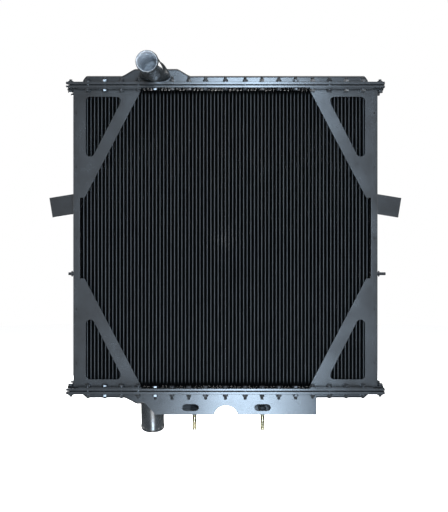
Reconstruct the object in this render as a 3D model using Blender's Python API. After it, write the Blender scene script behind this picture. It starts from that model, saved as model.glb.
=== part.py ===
"""Heavy-duty vehicle radiator with bolt-on tanks.

A brazed core of upright flat tubes and fins stands between two slotted headers. A tank is bolted to
each header, with a hose neck on each tank. Two side columns and four corner gussets stiffen the core,
and a channel under the bottom tank carries it on two studs. The front of the core faces -Y. The origin
is in the middle of the underside of the lower mount bracket. Sizes are in metres.
"""

import math

import bmesh
import bpy
from mathutils import Vector

GAP = 0.0003  # clearance between touching pieces
CUT_MARGIN = 0.010  # how far a cutter passes the piece it cuts

# Core
TUBE_COUNT = 79
TUBE_PITCH = 0.01111
TUBE_WIDTH = 0.0026
TUBE_DEPTH = 0.054
TUBE_WALL = 0.0004
FIN_RECESS = 0.0015
CORE_HEIGHT = 0.909

# Plates between core and tank, and the tank flanges
HEADER_THICKNESS = 0.0065
GASKET_THICKNESS = 0.003
FLANGE_THICKNESS = 0.0085
FLANGE_DEPTH = 0.120
FLANGE_OVERHANG = 0.0186  # beyond the side columns

# Tanks
TANK_DEPTH = 0.070
TANK_WALL = 0.003
TANK_END_INSET = 0.0094  # inside the inner face of the columns
TANK_CORNER = 0.008
TANK_END_SLOPE = 0.013
TOP_TANK_RISE = 0.0225
TOP_TANK_END_RISE = 0.009
HUMP_RISE = 0.044
HUMP_X = -0.211
HUMP_TOP_LENGTH = 0.128
HUMP_SLOPE = 0.040
BOTTOM_TANK_DROP = 0.015
BOTTOM_TANK_END_DROP = 0.006
SUMP_DROP = 0.0335
SUMP_X = -0.227
SUMP_BOTTOM_LENGTH = 0.086
SUMP_SLOPE = 0.038

# Tank bolts, three eighths of an inch
BOLT_PITCH = 0.051
MIDDLE_BOLT_PITCH = 0.060
BOLT_EDGE = 0.012
END_BOLT_EDGE = 0.009
END_BOLT_Y = 0.024
BOLT_DIAMETER = 0.0095
BOLT_HEX = 0.0143
BOLT_HEAD_HEIGHT = 0.0064
BOLT_NUT_HEIGHT = 0.008
BOLT_TIP = 0.0045
BOLT_CLEARANCE = 0.0004

# Hose necks
NECK_WALL = 0.003
BEAD_HEIGHT = 0.0015
BEAD_WIDTH = 0.008
BEAD_FROM_END = 0.004
BEAD_RAMP = 0.35  # share of the bead's width
PORT_LIP = 0.002
INLET_DIAMETER = 0.0635
INLET_LENGTH = 0.1687
INLET_ROOT_X = -0.2145
INLET_DRIFT = -0.010
INLET_MOUTH_DROP = 0.0015
INLET_ROOT_WIDTH = 0.093
INLET_ROOT_HEIGHT = 0.041
INLET_FLARE_LENGTH = 0.045
INLET_FLARE_STATIONS = (0, 0.2, 0.55, 1)
INLET_FULL_HEIGHT_AT = 0.55  # share of the flare
INLET_SEAT = 0.001  # above the flange of the top tank
OUTLET_DIAMETER = 0.070
OUTLET_LENGTH = 0.086
OUTLET_TILT = math.radians(13)
OUTLET_FROM_SUMP_MIDDLE = 0.0015
OUTLET_ROOT_Y = 0.001

# Side columns, open outwards, and their feet
COLUMN_WIDTH = 0.020
COLUMN_DEPTH = 0.073
COLUMN_WALL = 0.003
REAR_FLANGE_EXTRA = 0.008  # the rear flange stands out further than the front one
COLUMN_HOLE_DIAMETER = 0.005
COLUMN_HOLE_HEIGHTS = (-0.380, -0.2165, 0.0, 0.2165, 0.380)
FOOT_THICKNESS = 0.003
FOOT_HEIGHT = 0.054
FOOT_RIB_THICKNESS = 0.003
FOOT_RIB_HEIGHT = 0.026

# Corner gussets
GUSSET_THICKNESS = 0.003
GUSSET_LAP = 0.0016
GUSSET_REACH = 0.190  # along the header
GUSSET_HEIGHT = 0.3315  # along the column
GUSSET_TIP = 0.0165
WINDOW_COLUMN_MARGIN = 0.0203
WINDOW_HEADER_MARGIN = 0.0245
WINDOW_WIDTH = 0.115
WINDOW_HEIGHT = 0.182
WINDOW_APEX_WIDTH = 0.034
WINDOW_RADIUS = 0.0125

# Lower mount bracket
BRACKET_DROP = 0.0645  # below the flange of the bottom tank
BRACKET_WALL = 0.004
BRACKET_LEFT = -0.250
BRACKET_RIGHT = 0.277
BRACKET_LEG_LEFT = -0.187
BRACKET_CUT = (0.038, 0.039)
NOTCH_X = 0.0015
NOTCH_RADIUS = 0.0381
NOTCH_HEIGHT = 0.0282
SLOT_X = (-0.106, 0.113)
SLOT_SIZE = (0.051, 0.021)
SLOT_Z = 0.0215
STUD_X = (-0.0955, 0.1145)
STUD_DIAMETER = 0.0127
STUD_LENGTH = 0.0545
STUD_HEX = 0.019
STUD_HEAD_HEIGHT = 0.008
WASHER_DIAMETER = 0.025
WASHER_THICKNESS = 0.0025

# Side mounts
TAB_THICKNESS = 0.006
TAB_HEIGHT = 0.062
TAB_REACH = 0.0926  # from the bolt line to the middle of the outer edge
TAB_TILT = math.radians(9.3)
TAB_ABOVE_MIDDLE = 0.110
TAB_BOLT_SPACING = 0.036
TAB_BOLT_DIAMETER = 0.008
TAB_BOLT_HEX = 0.013
TAB_BOLT_HEAD_HEIGHT = 0.0055
TAB_BOLT_TIP = 0.003
PIN_BELOW_MIDDLE = 0.110
PIN_DIAMETER = 0.009
PIN_COLLAR_DIAMETER = 0.018
PIN_COLLAR_THICKNESS = 0.003
PIN_PROTRUSION = {-1: 0.021, 1: 0.031}

# Drain cock, on the rear of the sump
COCK_X = -0.2895
COCK_DROP = 0.0135
COCK_STUB_DIAMETER = 0.010
COCK_BOSS_DIAMETER = 0.018
COCK_BOSS_THICKNESS = 0.006
COCK_BODY_DIAMETER = 0.013
COCK_LENGTH = 0.030
COCK_BORE_DIAMETER = 0.0066
COCK_BORE_DEPTH = 0.014
KEY_STEM_DIAMETER = 0.006
KEY_STEM_IN = 0.012
KEY_STEM_OUT = 0.003
KEY_LENGTH = 0.032
KEY_WIDTH = 0.007
KEY_THICKNESS = 0.005

ROUND_SIDES = 16
SMALL_ROUND_SIDES = 8

TOP = 1
BOTTOM = -1

# Places worked out from the sizes above
STACK = HEADER_THICKNESS + GASKET_THICKNESS + FLANGE_THICKNESS
CORE_BOTTOM_Z = BRACKET_DROP + STACK
MIDDLE_Z = CORE_BOTTOM_Z + CORE_HEIGHT / 2
OUTER_TUBE_X = (TUBE_COUNT - 1) / 2 * TUBE_PITCH
COLUMN_INNER_X = OUTER_TUBE_X + TUBE_PITCH - TUBE_WIDTH / 2 + GAP
COLUMN_OUTER_X = COLUMN_INNER_X + COLUMN_WIDTH
FLANGE_END_X = COLUMN_OUTER_X + FLANGE_OVERHANG
TANK_END_X = COLUMN_INNER_X - TANK_END_INSET
BOLT_ROW_Y = FLANGE_DEPTH / 2 - BOLT_EDGE
END_BOLT_X = FLANGE_END_X - END_BOLT_EDGE
TAB_BOLT_X = COLUMN_INNER_X + (COLUMN_WIDTH + COLUMN_WALL) / 2
GUSSET_FRONT_Y = -COLUMN_DEPTH / 2 - GAP - GUSSET_THICKNESS
GUSSET_OUTER_X = COLUMN_INNER_X + GUSSET_LAP
GUSSET_END_X = GUSSET_OUTER_X - GUSSET_REACH
OUTLET_X = SUMP_X + OUTLET_FROM_SUMP_MIDDLE

AXES = {
    "x": lambda u, v, w: Vector((w, u, v)),
    "y": lambda u, v, w: Vector((u, w, v)),
    "z": lambda u, v, w: Vector((u, v, w)),
}


def level(end, distance):
    """Height of the plane that lies this far outside the core, at its top or bottom end."""
    return MIDDLE_Z + end * (CORE_HEIGHT / 2 + distance)


def rectangle(left, right, low, high):
    return [(left, low), (right, low), (right, high), (left, high)]


def arc(centre, radius, start, stop, steps):
    """Points along an arc, from one angle to the other."""
    angles = [start + (stop - start) * step / steps for step in range(steps + 1)]
    return [(centre[0] + radius * math.cos(a), centre[1] + radius * math.sin(a)) for a in angles]


def circle(centre, diameter, sides):
    return arc(centre, diameter / 2, 0, 2 * math.pi, sides)[:-1]


def square_hole(centre, across):
    return rectangle(
        centre[0] - across / 2, centre[0] + across / 2, centre[1] - across / 2, centre[1] + across / 2
    )


def hexagon(centre, across_flats):
    """A hexagon with two of its flats facing along the second axis."""
    return arc(centre, across_flats / math.sqrt(3), 0, 2 * math.pi, 6)[:-1]


def ring_of(mesh, points):
    return [mesh.verts.new(point) for point in points]


def around(items):
    return zip(items, items[1:] + items[:1])


def fill(mesh, rings):
    """Fills the flat area inside the first ring and outside the others."""
    edges = []
    for ring in rings:
        edges += [mesh.edges.get(pair) or mesh.edges.new(pair) for pair in around(ring)]
    made = bmesh.ops.triangle_fill(mesh, use_beauty=True, use_dissolve=False, edges=edges)
    return [item for item in made["geom"] if isinstance(item, bmesh.types.BMFace)]


def add_plate(mesh, outline, holes, axis, low, high):
    """A flat plate with holes, its outline square to the axis."""
    place = AXES[axis]
    other_side = {}
    lower_rings = []
    for loop in [outline, *holes]:
        lower = ring_of(mesh, [place(u, v, low) for u, v in loop])
        upper = ring_of(mesh, [place(u, v, high) for u, v in loop])
        other_side.update(zip(lower, upper))
        lower_rings.append(lower)
    for face in fill(mesh, lower_rings):
        mesh.faces.new([other_side[vert] for vert in face.verts])
    for ring in lower_rings:
        for first, second in around(ring):
            mesh.faces.new((first, second, other_side[second], other_side[first]))


def add_loft(mesh, rings, closed=False):
    """A skin through rings with equal numbers of points. A closed one runs back to its first ring."""
    rings = [ring_of(mesh, ring) for ring in rings]
    pairs = around(rings) if closed else zip(rings, rings[1:])
    for ring, following in pairs:
        for (first, second), (first_next, second_next) in zip(around(ring), around(following)):
            mesh.faces.new((first, second, second_next, first_next))
    if not closed:
        mesh.faces.new(rings[0])
        mesh.faces.new(rings[-1])


def add_headed_pin(mesh, centre, head, shank, axis, levels):
    """A head and a shank in one body. The levels are the head's end, its seat and the shank's end."""
    place = AXES[axis]
    head_end, seat, shank_end = levels
    rings = []
    for outline, height in ((head, head_end), (head, seat), (shank, seat), (shank, shank_end)):
        points = [place(centre[0] + u, centre[1] + v, height) for u, v in outline]
        rings.append(ring_of(mesh, points))
    fill(mesh, rings[1:3])
    for low, high in (rings[:2], rings[2:]):
        for (first, second), (first_next, second_next) in zip(around(low), around(high)):
            mesh.faces.new((first, second, second_next, first_next))
    mesh.faces.new(rings[0])
    mesh.faces.new(rings[3])


def add_turned(mesh, centre, profile, sides):
    """A body turned about an axis along +Y, from (radius, distance along the axis) points."""
    rings = []
    for radius, along in profile:
        rings.append([centre + Vector((u, along, v)) for u, v in circle((0, 0), 2 * radius, sides)])
    add_loft(mesh, rings)


def finish_mesh(name, mesh):
    bmesh.ops.recalc_face_normals(mesh, faces=mesh.faces)
    data = bpy.data.meshes.new(name)
    mesh.to_mesh(data)
    mesh.free()
    data.shade_smooth()
    data.set_sharp_from_angle(angle=math.radians(30))
    return data


def new_piece(name, mesh, finish, location=(0, 0, 0)):
    """A named object with its own material: colour, roughness and metallic value."""
    colour, roughness, metallic = finish
    piece = bpy.data.objects.new(name, finish_mesh(name, mesh))
    piece.location = location
    material = bpy.data.materials.new(name + "_finish")
    material.use_nodes = True
    shader = material.node_tree.nodes["Principled BSDF"]
    shader.inputs["Base Color"].default_value = (*colour, 1)
    shader.inputs["Roughness"].default_value = roughness
    shader.inputs["Metallic"].default_value = metallic
    piece.data.materials.append(material)
    bpy.context.scene.collection.objects.link(piece)
    return piece


def combine(piece, mesh, operation, label):
    """Cuts the mesh from the piece, or joins it on, by an exact Boolean."""
    helper = bpy.data.objects.new(f"{piece.name}_{label}", finish_mesh(label, mesh))
    helper.hide_render = True
    helper.display_type = "WIRE"
    bpy.context.scene.collection.objects.link(helper)
    modifier = piece.modifiers.new(label, "BOOLEAN")
    modifier.operation = operation
    modifier.object = helper


PAINT = ((0.035, 0.038, 0.041), 0.42, 0.0)
BARE_METAL = ((0.55, 0.57, 0.60), 0.30, 1.0)
TUBE_PAINT = ((0.09, 0.095, 0.10), 0.50, 0.0)
GASKET_RUBBER = ((0.012, 0.012, 0.012), 0.80, 0.0)
YELLOW_ZINC = ((0.62, 0.56, 0.30), 0.30, 1.0)
BRASS = ((0.66, 0.50, 0.24), 0.32, 1.0)


def tube_positions():
    return [(index - (TUBE_COUNT - 1) / 2) * TUBE_PITCH for index in range(TUBE_COUNT)]


def bore_outlines():
    """The water passages inside the tubes."""
    half_width = TUBE_WIDTH / 2 - TUBE_WALL
    half_depth = TUBE_DEPTH / 2 - TUBE_WALL
    return [rectangle(x - half_width, x + half_width, -half_depth, half_depth) for x in tube_positions()]


def make_core():
    """Tubes brazed to the fin blocks between them, which stand back a little from the tube edges."""
    tube_edge = -TUBE_DEPTH / 2
    fin_edge = tube_edge + FIN_RECESS
    side = COLUMN_INNER_X - GAP
    front = [(-side, fin_edge)]
    for x in tube_positions():
        left, right = x - TUBE_WIDTH / 2, x + TUBE_WIDTH / 2
        front += [(left, fin_edge), (left, tube_edge), (right, tube_edge), (right, fin_edge)]
    front.append((side, fin_edge))
    outline = front + [(x, -y) for x, y in reversed(front)]
    mesh = bmesh.new()
    add_plate(mesh, outline, bore_outlines(), "z", level(BOTTOM, -GAP), level(TOP, -GAP))
    new_piece("radiator_core", mesh, TUBE_PAINT)


def row_bolt_positions():
    """Bolt places along one long side: one in the middle, a wider pitch beside it, then even pitches."""
    outward = int((TANK_END_X - MIDDLE_BOLT_PITCH) / BOLT_PITCH) + 1
    right = [MIDDLE_BOLT_PITCH + BOLT_PITCH * index for index in range(outward)]
    return [-x for x in reversed(right)] + [0.0] + right


def end_bolts():
    return [(x, y) for x in (-END_BOLT_X, END_BOLT_X) for y in (-END_BOLT_Y, END_BOLT_Y)]


def row_bolts():
    return [(x, y) for x in row_bolt_positions() for y in (-BOLT_ROW_Y, BOLT_ROW_Y)]


def bolt_holes(places):
    return [square_hole(place, BOLT_DIAMETER * math.sqrt(0.5) + BOLT_CLEARANCE * 2) for place in places]


def flange_outline():
    return rectangle(-FLANGE_END_X, FLANGE_END_X, -FLANGE_DEPTH / 2, FLANGE_DEPTH / 2)


def make_header(name, end):
    """The plate that closes the core, with one slot over each tube's bore."""
    mesh = bmesh.new()
    holes = bore_outlines() + bolt_holes(row_bolts() + end_bolts())
    add_plate(mesh, flange_outline(), holes, "z", level(end, 0), level(end, HEADER_THICKNESS))
    new_piece(name, mesh, PAINT)


def make_gasket(name, end):
    """A ring between the tank's cavity and the bolts."""
    bolt_side = BOLT_DIAMETER / 2 + BOLT_CLEARANCE
    outside = (END_BOLT_X - bolt_side, BOLT_ROW_Y - bolt_side)
    inside = (TANK_END_X - TANK_WALL, TANK_DEPTH / 2 - TANK_WALL)
    mesh = bmesh.new()
    add_plate(
        mesh,
        rectangle(-outside[0], outside[0], -outside[1], outside[1]),
        [rectangle(-inside[0], inside[0], -inside[1], inside[1])],
        "z",
        level(end, HEADER_THICKNESS + GAP),
        level(end, HEADER_THICKNESS + GASKET_THICKNESS - GAP),
    )
    new_piece(name, mesh, GASKET_RUBBER)


def tank_section(x, half_depth, corner, base, height, end):
    """One cross-section of a tank, with rounded outer corners."""
    corner = min(corner, height / 2)
    quarter = arc((half_depth - corner, height - corner), corner, 0, math.pi / 2, 2)
    right = [(half_depth, base), *quarter]
    left = [(-y, rise) for y, rise in reversed(right)]
    return [Vector((x, y, level(end, STACK + rise))) for y, rise in right + left]


def tank_outline(end):
    """Where the tank changes height, as (x, height above its flange)."""
    if end == TOP:
        low, middle, x, half_top, slope = TOP_TANK_RISE, HUMP_RISE, HUMP_X, HUMP_TOP_LENGTH / 2, HUMP_SLOPE
        at_end = TOP_TANK_END_RISE
    else:
        low, middle, x, half_top = BOTTOM_TANK_DROP, SUMP_DROP, SUMP_X, SUMP_BOTTOM_LENGTH / 2
        slope, at_end = SUMP_SLOPE, BOTTOM_TANK_END_DROP
    return [
        (-TANK_END_X, at_end),
        (-TANK_END_X + TANK_END_SLOPE, low),
        (x - half_top - slope, low),
        (x - half_top, middle),
        (x + half_top, middle),
        (x + half_top + slope, low),
        (TANK_END_X - TANK_END_SLOPE, low),
        (TANK_END_X, at_end),
    ]


def make_tank(name, end):
    mesh = bmesh.new()
    faces = (level(end, STACK - FLANGE_THICKNESS), level(end, STACK))
    add_plate(mesh, flange_outline(), bolt_holes(row_bolts() + end_bolts()), "z", *faces)
    tank = new_piece(name, mesh, PAINT)

    outside = bmesh.new()
    sections = []
    for x, height in tank_outline(end):
        sections.append(
            tank_section(x, TANK_DEPTH / 2, TANK_CORNER, -FLANGE_THICKNESS / 2, height, end)
        )
    add_loft(outside, sections)
    combine(tank, outside, "UNION", "shell")

    inside = bmesh.new()
    sections = []
    corner = TANK_CORNER - TANK_WALL
    base = -FLANGE_THICKNESS - TANK_WALL
    for x, height in tank_outline(end):
        inner_x = math.copysign(min(abs(x), TANK_END_X - TANK_WALL), x)
        sections.append(
            tank_section(inner_x, TANK_DEPTH / 2 - TANK_WALL, corner, base, height - TANK_WALL, end)
        )
    add_loft(inside, sections)
    combine(tank, inside, "DIFFERENCE", "cavity")
    return tank


def bead_radii(radius, length, root):
    """(radius, distance) along a neck from the root to its end, with a hose bead near the end."""
    bead = length - BEAD_FROM_END - BEAD_WIDTH
    return [
        (radius, root),
        (radius, bead),
        (radius + BEAD_HEIGHT, bead + BEAD_WIDTH * BEAD_RAMP),
        (radius + BEAD_HEIGHT, bead + BEAD_WIDTH * (1 - BEAD_RAMP)),
        (radius, bead + BEAD_WIDTH),
        (radius, length),
    ]


def inlet_section(along, half_width, half_height, centre_z):
    """One ring of the inlet neck, this far in front of the tank wall."""
    x = INLET_ROOT_X + INLET_DRIFT * along / INLET_LENGTH
    y = -TANK_DEPTH / 2 - GAP - along
    return [
        Vector((x + half_width * u, y, centre_z + half_height * v))
        for u, v in circle((0, 0), 2, ROUND_SIDES)
    ]


def inlet_rings(inset):
    """Rings from the flattened root to the round mouth. The inset is the wall, for the bore."""
    radius = INLET_DIAMETER / 2
    seat = level(TOP, STACK) + INLET_SEAT
    rings = []
    for share in INLET_FLARE_STATIONS:
        roundness = share * share * (3 - 2 * share)
        half_width = INLET_ROOT_WIDTH / 2 + (radius - INLET_ROOT_WIDTH / 2) * roundness
        growth = min(1, share / INLET_FULL_HEIGHT_AT)
        half_height = INLET_ROOT_HEIGHT / 2 + (radius - INLET_ROOT_HEIGHT / 2) * growth
        rings.append(
            inlet_section(
                INLET_FLARE_LENGTH * share, half_width - inset, half_height - inset, seat + half_height
            )
        )
    tail = bead_radii(radius, INLET_LENGTH, INLET_FLARE_LENGTH)[1:]
    if inset:
        tail = tail[-1:]
    for ring_radius, along in tail:
        sink = INLET_MOUTH_DROP * (along - INLET_FLARE_LENGTH) / (INLET_LENGTH - INLET_FLARE_LENGTH)
        size = ring_radius - inset
        rings.append(inlet_section(along, size, size, seat + radius - sink))
    return rings


def make_inlet(tank):
    neck = bmesh.new()
    add_loft(neck, inlet_rings(0) + list(reversed(inlet_rings(NECK_WALL))), closed=True)
    new_piece("inlet_neck", neck, PAINT)

    port = bmesh.new()
    edge = NECK_WALL + PORT_LIP
    centre = (INLET_ROOT_X, level(TOP, STACK) + INLET_SEAT + INLET_ROOT_HEIGHT / 2)
    outline = [
        (centre[0] + (INLET_ROOT_WIDTH / 2 - edge) * u, centre[1] + (INLET_ROOT_HEIGHT / 2 - edge) * v)
        for u, v in circle((0, 0), 2, ROUND_SIDES)
    ]
    front = -TANK_DEPTH / 2
    add_plate(port, outline, [], "y", front - TANK_WALL, front + 2 * TANK_WALL)
    combine(tank, port, "DIFFERENCE", "port")


def outlet_ring(radius, along, flush=False):
    """A ring square to the tilted outlet, or cut level so that it lies against the sump."""
    root = Vector((OUTLET_X, OUTLET_ROOT_Y, level(BOTTOM, STACK + SUMP_DROP) - GAP))
    axis = Vector((0, math.sin(OUTLET_TILT), -math.cos(OUTLET_TILT)))
    side = Vector((0, math.cos(OUTLET_TILT), math.sin(OUTLET_TILT)))
    points = []
    for u, v in circle((0, 0), 2 * radius, ROUND_SIDES):
        extra = v * math.tan(OUTLET_TILT) if flush else 0
        points.append(root + Vector((u, 0, 0)) + side * v + axis * (along + extra))
    return points


def make_outlet(tank):
    radius = OUTLET_DIAMETER / 2
    outside = [outlet_ring(radius, 0, flush=True)]
    outside += [outlet_ring(size, along) for size, along in bead_radii(radius, OUTLET_LENGTH, 0)[1:]]
    bore = radius - NECK_WALL
    inside = [outlet_ring(bore, OUTLET_LENGTH), outlet_ring(bore, 0, flush=True)]
    neck = bmesh.new()
    add_loft(neck, outside + inside, closed=True)
    new_piece("outlet_neck", neck, PAINT)

    port = bmesh.new()
    reach = 2 * TANK_WALL
    add_loft(port, [outlet_ring(bore - PORT_LIP, -reach, True), outlet_ring(bore - PORT_LIP, reach, True)])
    combine(tank, port, "DIFFERENCE", "port")


def make_end_fasteners(end_name, end):
    """The bolts that clamp the column feet, header, gasket and tank flange together, with their nuts."""
    shank = square_hole((0, 0), BOLT_DIAMETER * math.sqrt(0.5))
    seat = -FOOT_THICKNESS - 2 * GAP
    nut_seat = STACK + GAP
    nut_end = nut_seat + BOLT_NUT_HEIGHT
    for place in end_bolts():
        side_name = "left" if place[0] < 0 else "right"
        row_name = "front" if place[1] < 0 else "rear"
        name = f"{end_name}_{side_name}_{row_name}"
        bolt = bmesh.new()
        levels = (level(end, seat - BOLT_HEAD_HEIGHT), level(end, seat), level(end, nut_end + BOLT_TIP))
        add_headed_pin(bolt, place, hexagon((0, 0), BOLT_HEX), shank, "z", levels)
        new_piece(name + "_bolt", bolt, BARE_METAL)
        nut = bmesh.new()
        faces = (level(end, nut_seat), level(end, nut_end))
        add_plate(nut, hexagon(place, BOLT_HEX), bolt_holes([place]), "z", *faces)
        new_piece(name + "_nut", nut, PAINT)


def tab_bolt_places(side):
    """Bolts of a side mount tab, one above the other in the column's rear flange."""
    middle = MIDDLE_Z + TAB_ABOVE_MIDDLE
    return [(side * TAB_BOLT_X, middle + offset * TAB_BOLT_SPACING / 2) for offset in (-1, 1)]


def make_column(name, side):
    inner, outer = COLUMN_INNER_X, COLUMN_OUTER_X
    half = COLUMN_DEPTH / 2
    web = inner + COLUMN_WALL
    lip = half - COLUMN_WALL
    rear_outer = outer + REAR_FLANGE_EXTRA
    channel = [(inner, -half), (outer, -half), (outer, -lip), (web, -lip)]
    channel += [(web, lip), (rear_outer, lip), (rear_outer, half), (inner, half)]
    mesh = bmesh.new()
    outline = [(side * x, y) for x, y in channel]
    add_plate(mesh, outline, [], "z", level(BOTTOM, -GAP), level(TOP, -GAP))
    column = new_piece(name, mesh, PAINT)

    holes = bmesh.new()
    x = side * (COLUMN_INNER_X + COLUMN_OUTER_X) / 2
    for height in COLUMN_HOLE_HEIGHTS:
        hole = circle((x, MIDDLE_Z + height), COLUMN_HOLE_DIAMETER, SMALL_ROUND_SIDES)
        add_plate(holes, hole, [], "y", -half - COLUMN_WALL, -half + 2 * COLUMN_WALL)
    for place in tab_bolt_places(side):
        hole = circle(place, TAB_BOLT_DIAMETER + 2 * BOLT_CLEARANCE, SMALL_ROUND_SIDES)
        add_plate(holes, hole, [], "y", half - 2 * COLUMN_WALL, half + COLUMN_WALL)
    combine(column, holes, "DIFFERENCE", "holes")


def make_foot(name, side, end):
    """The angle under the header that ties a column to it, with a rib."""
    heel = COLUMN_INNER_X + COLUMN_WALL + GAP
    half = COLUMN_DEPTH / 2 - COLUMN_WALL - GAP
    face = level(end, -GAP)
    tab = level(end, -GAP - FOOT_THICKNESS)
    toe = level(end, -GAP - FOOT_HEIGHT)
    mesh = bmesh.new()
    places = [(x, y) for x, y in end_bolts() if x * side > 0]
    outline = rectangle(side * heel, side * FLANGE_END_X, -half, half)
    add_plate(mesh, outline, bolt_holes(places), "z", tab, face)
    foot = new_piece(name, mesh, PAINT)

    overlap = (tab + face) / 2
    leg = bmesh.new()
    leg_face = side * (heel + FOOT_THICKNESS)
    add_plate(leg, rectangle(side * heel, leg_face, -half, half), [], "z", toe, overlap)
    combine(foot, leg, "UNION", "leg")

    rib = bmesh.new()
    start = side * (heel + FOOT_THICKNESS / 2)
    triangle = [(start, overlap), (side * (FLANGE_END_X - GAP), overlap)]
    triangle += [(side * (FLANGE_END_X - GAP), tab), (start, level(end, -GAP - FOOT_RIB_HEIGHT))]
    add_plate(rib, triangle, [], "y", -FOOT_RIB_THICKNESS / 2, FOOT_RIB_THICKNESS / 2)
    combine(foot, rib, "UNION", "rib")


def rounded(corners, radius, steps):
    """The outline through the corners, each rounded to the radius."""
    outline = []
    count = len(corners)
    for index, corner in enumerate(corners):
        here = Vector(corner)
        before = (Vector(corners[index - 1]) - here).normalized()
        after = (Vector(corners[(index + 1) % count]) - here).normalized()
        half_angle = before.angle(after) / 2
        centre = here + (before + after).normalized() * (radius / math.sin(half_angle))
        start = here + before * (radius / math.tan(half_angle)) - centre
        turn = math.pi - 2 * half_angle
        turn *= math.copysign(1, before.x * after.y - before.y * after.x)
        for step in range(steps + 1):
            angle = -turn * step / steps
            spoke = Vector(
                (
                    start.x * math.cos(angle) - start.y * math.sin(angle),
                    start.x * math.sin(angle) + start.y * math.cos(angle),
                )
            )
            outline.append(tuple(centre + spoke))
    return outline


def make_gusset(name, side, end):
    """A triangular corner plate with a window, and a flange that the tank bolts clamp."""
    def at(inward, down):
        return side * (GUSSET_OUTER_X - inward), level(end, -GAP - down)

    outline = [
        at(0, GUSSET_THICKNESS / 2),
        at(GUSSET_REACH, GUSSET_THICKNESS / 2),
        at(GUSSET_TIP, GUSSET_HEIGHT),
        at(0, GUSSET_HEIGHT),
    ]
    apex = WINDOW_COLUMN_MARGIN + WINDOW_APEX_WIDTH - WINDOW_RADIUS
    window = [
        at(WINDOW_COLUMN_MARGIN, WINDOW_HEADER_MARGIN),
        at(WINDOW_COLUMN_MARGIN + WINDOW_WIDTH, WINDOW_HEADER_MARGIN),
        at(apex, WINDOW_HEADER_MARGIN + WINDOW_HEIGHT),
        at(WINDOW_COLUMN_MARGIN, WINDOW_HEADER_MARGIN + WINDOW_HEIGHT),
    ]
    mesh = bmesh.new()
    window = rounded(window, WINDOW_RADIUS, 3)
    back = GUSSET_FRONT_Y + GUSSET_THICKNESS
    add_plate(mesh, outline, [window], "y", GUSSET_FRONT_Y, back)
    gusset = new_piece(name, mesh, PAINT)

    flange = bmesh.new()
    inner_end = side * GUSSET_END_X
    outer_end = side * GUSSET_OUTER_X
    outline = rectangle(outer_end, inner_end, -FLANGE_DEPTH / 2, back)
    places = [(x, y) for x, y in row_bolts() if y < 0 and x * side > GUSSET_END_X]
    faces = (level(end, -GAP - GUSSET_THICKNESS), level(end, -GAP))
    add_plate(flange, outline, bolt_holes(places), "z", *faces)
    combine(gusset, flange, "UNION", "flange")


def make_side_tab(name, side):
    """The flat mount plate behind a column, with its outer end turned down."""
    pivot = Vector((TAB_BOLT_X, MIDDLE_Z + TAB_ABOVE_MIDDLE))
    along = Vector((math.cos(TAB_TILT), -math.sin(TAB_TILT)))
    across = Vector((math.sin(TAB_TILT), math.cos(TAB_TILT)))
    inner = TAB_BOLT_HEX / 2
    outline = []
    for reach, height in ((-inner, -1), (TAB_REACH, -1), (TAB_REACH, 1), (-inner, 1)):
        point = pivot + along * reach + across * (height * TAB_HEIGHT / 2)
        outline.append((side * point.x, point.y))
    near = COLUMN_DEPTH / 2 + GAP
    sides = SMALL_ROUND_SIDES
    size = TAB_BOLT_DIAMETER + 2 * BOLT_CLEARANCE
    holes = [circle(place, size, sides) for place in tab_bolt_places(side)]
    mesh = bmesh.new()
    add_plate(mesh, outline, holes, "y", near, near + TAB_THICKNESS)
    new_piece(name, mesh, PAINT)


def make_side_tab_fasteners(side_name, side):
    shank = circle((0, 0), TAB_BOLT_DIAMETER, SMALL_ROUND_SIDES)
    head_seat = COLUMN_DEPTH / 2 + TAB_THICKNESS + 2 * GAP
    nut_seat = COLUMN_DEPTH / 2 - COLUMN_WALL - GAP
    nut_end = nut_seat - TAB_BOLT_HEAD_HEIGHT
    for place, height_name in zip(tab_bolt_places(side), ("lower", "upper")):
        name = f"{side_name}_bracket_{height_name}"
        bolt = bmesh.new()
        levels = (head_seat + TAB_BOLT_HEAD_HEIGHT, head_seat, nut_end - TAB_BOLT_TIP)
        add_headed_pin(bolt, place, hexagon((0, 0), TAB_BOLT_HEX), shank, "y", levels)
        new_piece(name + "_bolt", bolt, PAINT)
        nut = bmesh.new()
        hole = circle(place, TAB_BOLT_DIAMETER + 2 * BOLT_CLEARANCE, SMALL_ROUND_SIDES)
        add_plate(nut, hexagon(place, TAB_BOLT_HEX), [hole], "y", nut_end, nut_seat)
        new_piece(name + "_nut", nut, PAINT)


def make_side_pin(name, side):
    """A locating pin with a collar on the web of the column."""
    web = COLUMN_INNER_X + COLUMN_WALL + GAP
    collar = web + PIN_COLLAR_THICKNESS
    tip = COLUMN_OUTER_X + PIN_PROTRUSION[side]
    chamfer = PIN_DIAMETER / 3
    profile = [
        (PIN_COLLAR_DIAMETER, web),
        (PIN_COLLAR_DIAMETER, collar),
        (PIN_DIAMETER, collar),
        (PIN_DIAMETER, tip - chamfer),
        (PIN_DIAMETER - chamfer, tip),
    ]
    height = MIDDLE_Z - PIN_BELOW_MIDDLE
    rings = []
    for diameter, x in profile:
        loop = circle((0, height), diameter, SMALL_ROUND_SIDES)
        rings.append([Vector((side * x, y, z)) for y, z in loop])
    mesh = bmesh.new()
    add_loft(mesh, rings)
    new_piece(name, mesh, PAINT)


def slot_outline(centre, size, steps):
    radius = size[1] / 2
    half = size[0] / 2 - radius
    right = arc((centre[0] + half, centre[1]), radius, -math.pi / 2, math.pi / 2, steps)
    left = arc((centre[0] - half, centre[1]), radius, math.pi / 2, 3 * math.pi / 2, steps)
    return right + left


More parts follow.
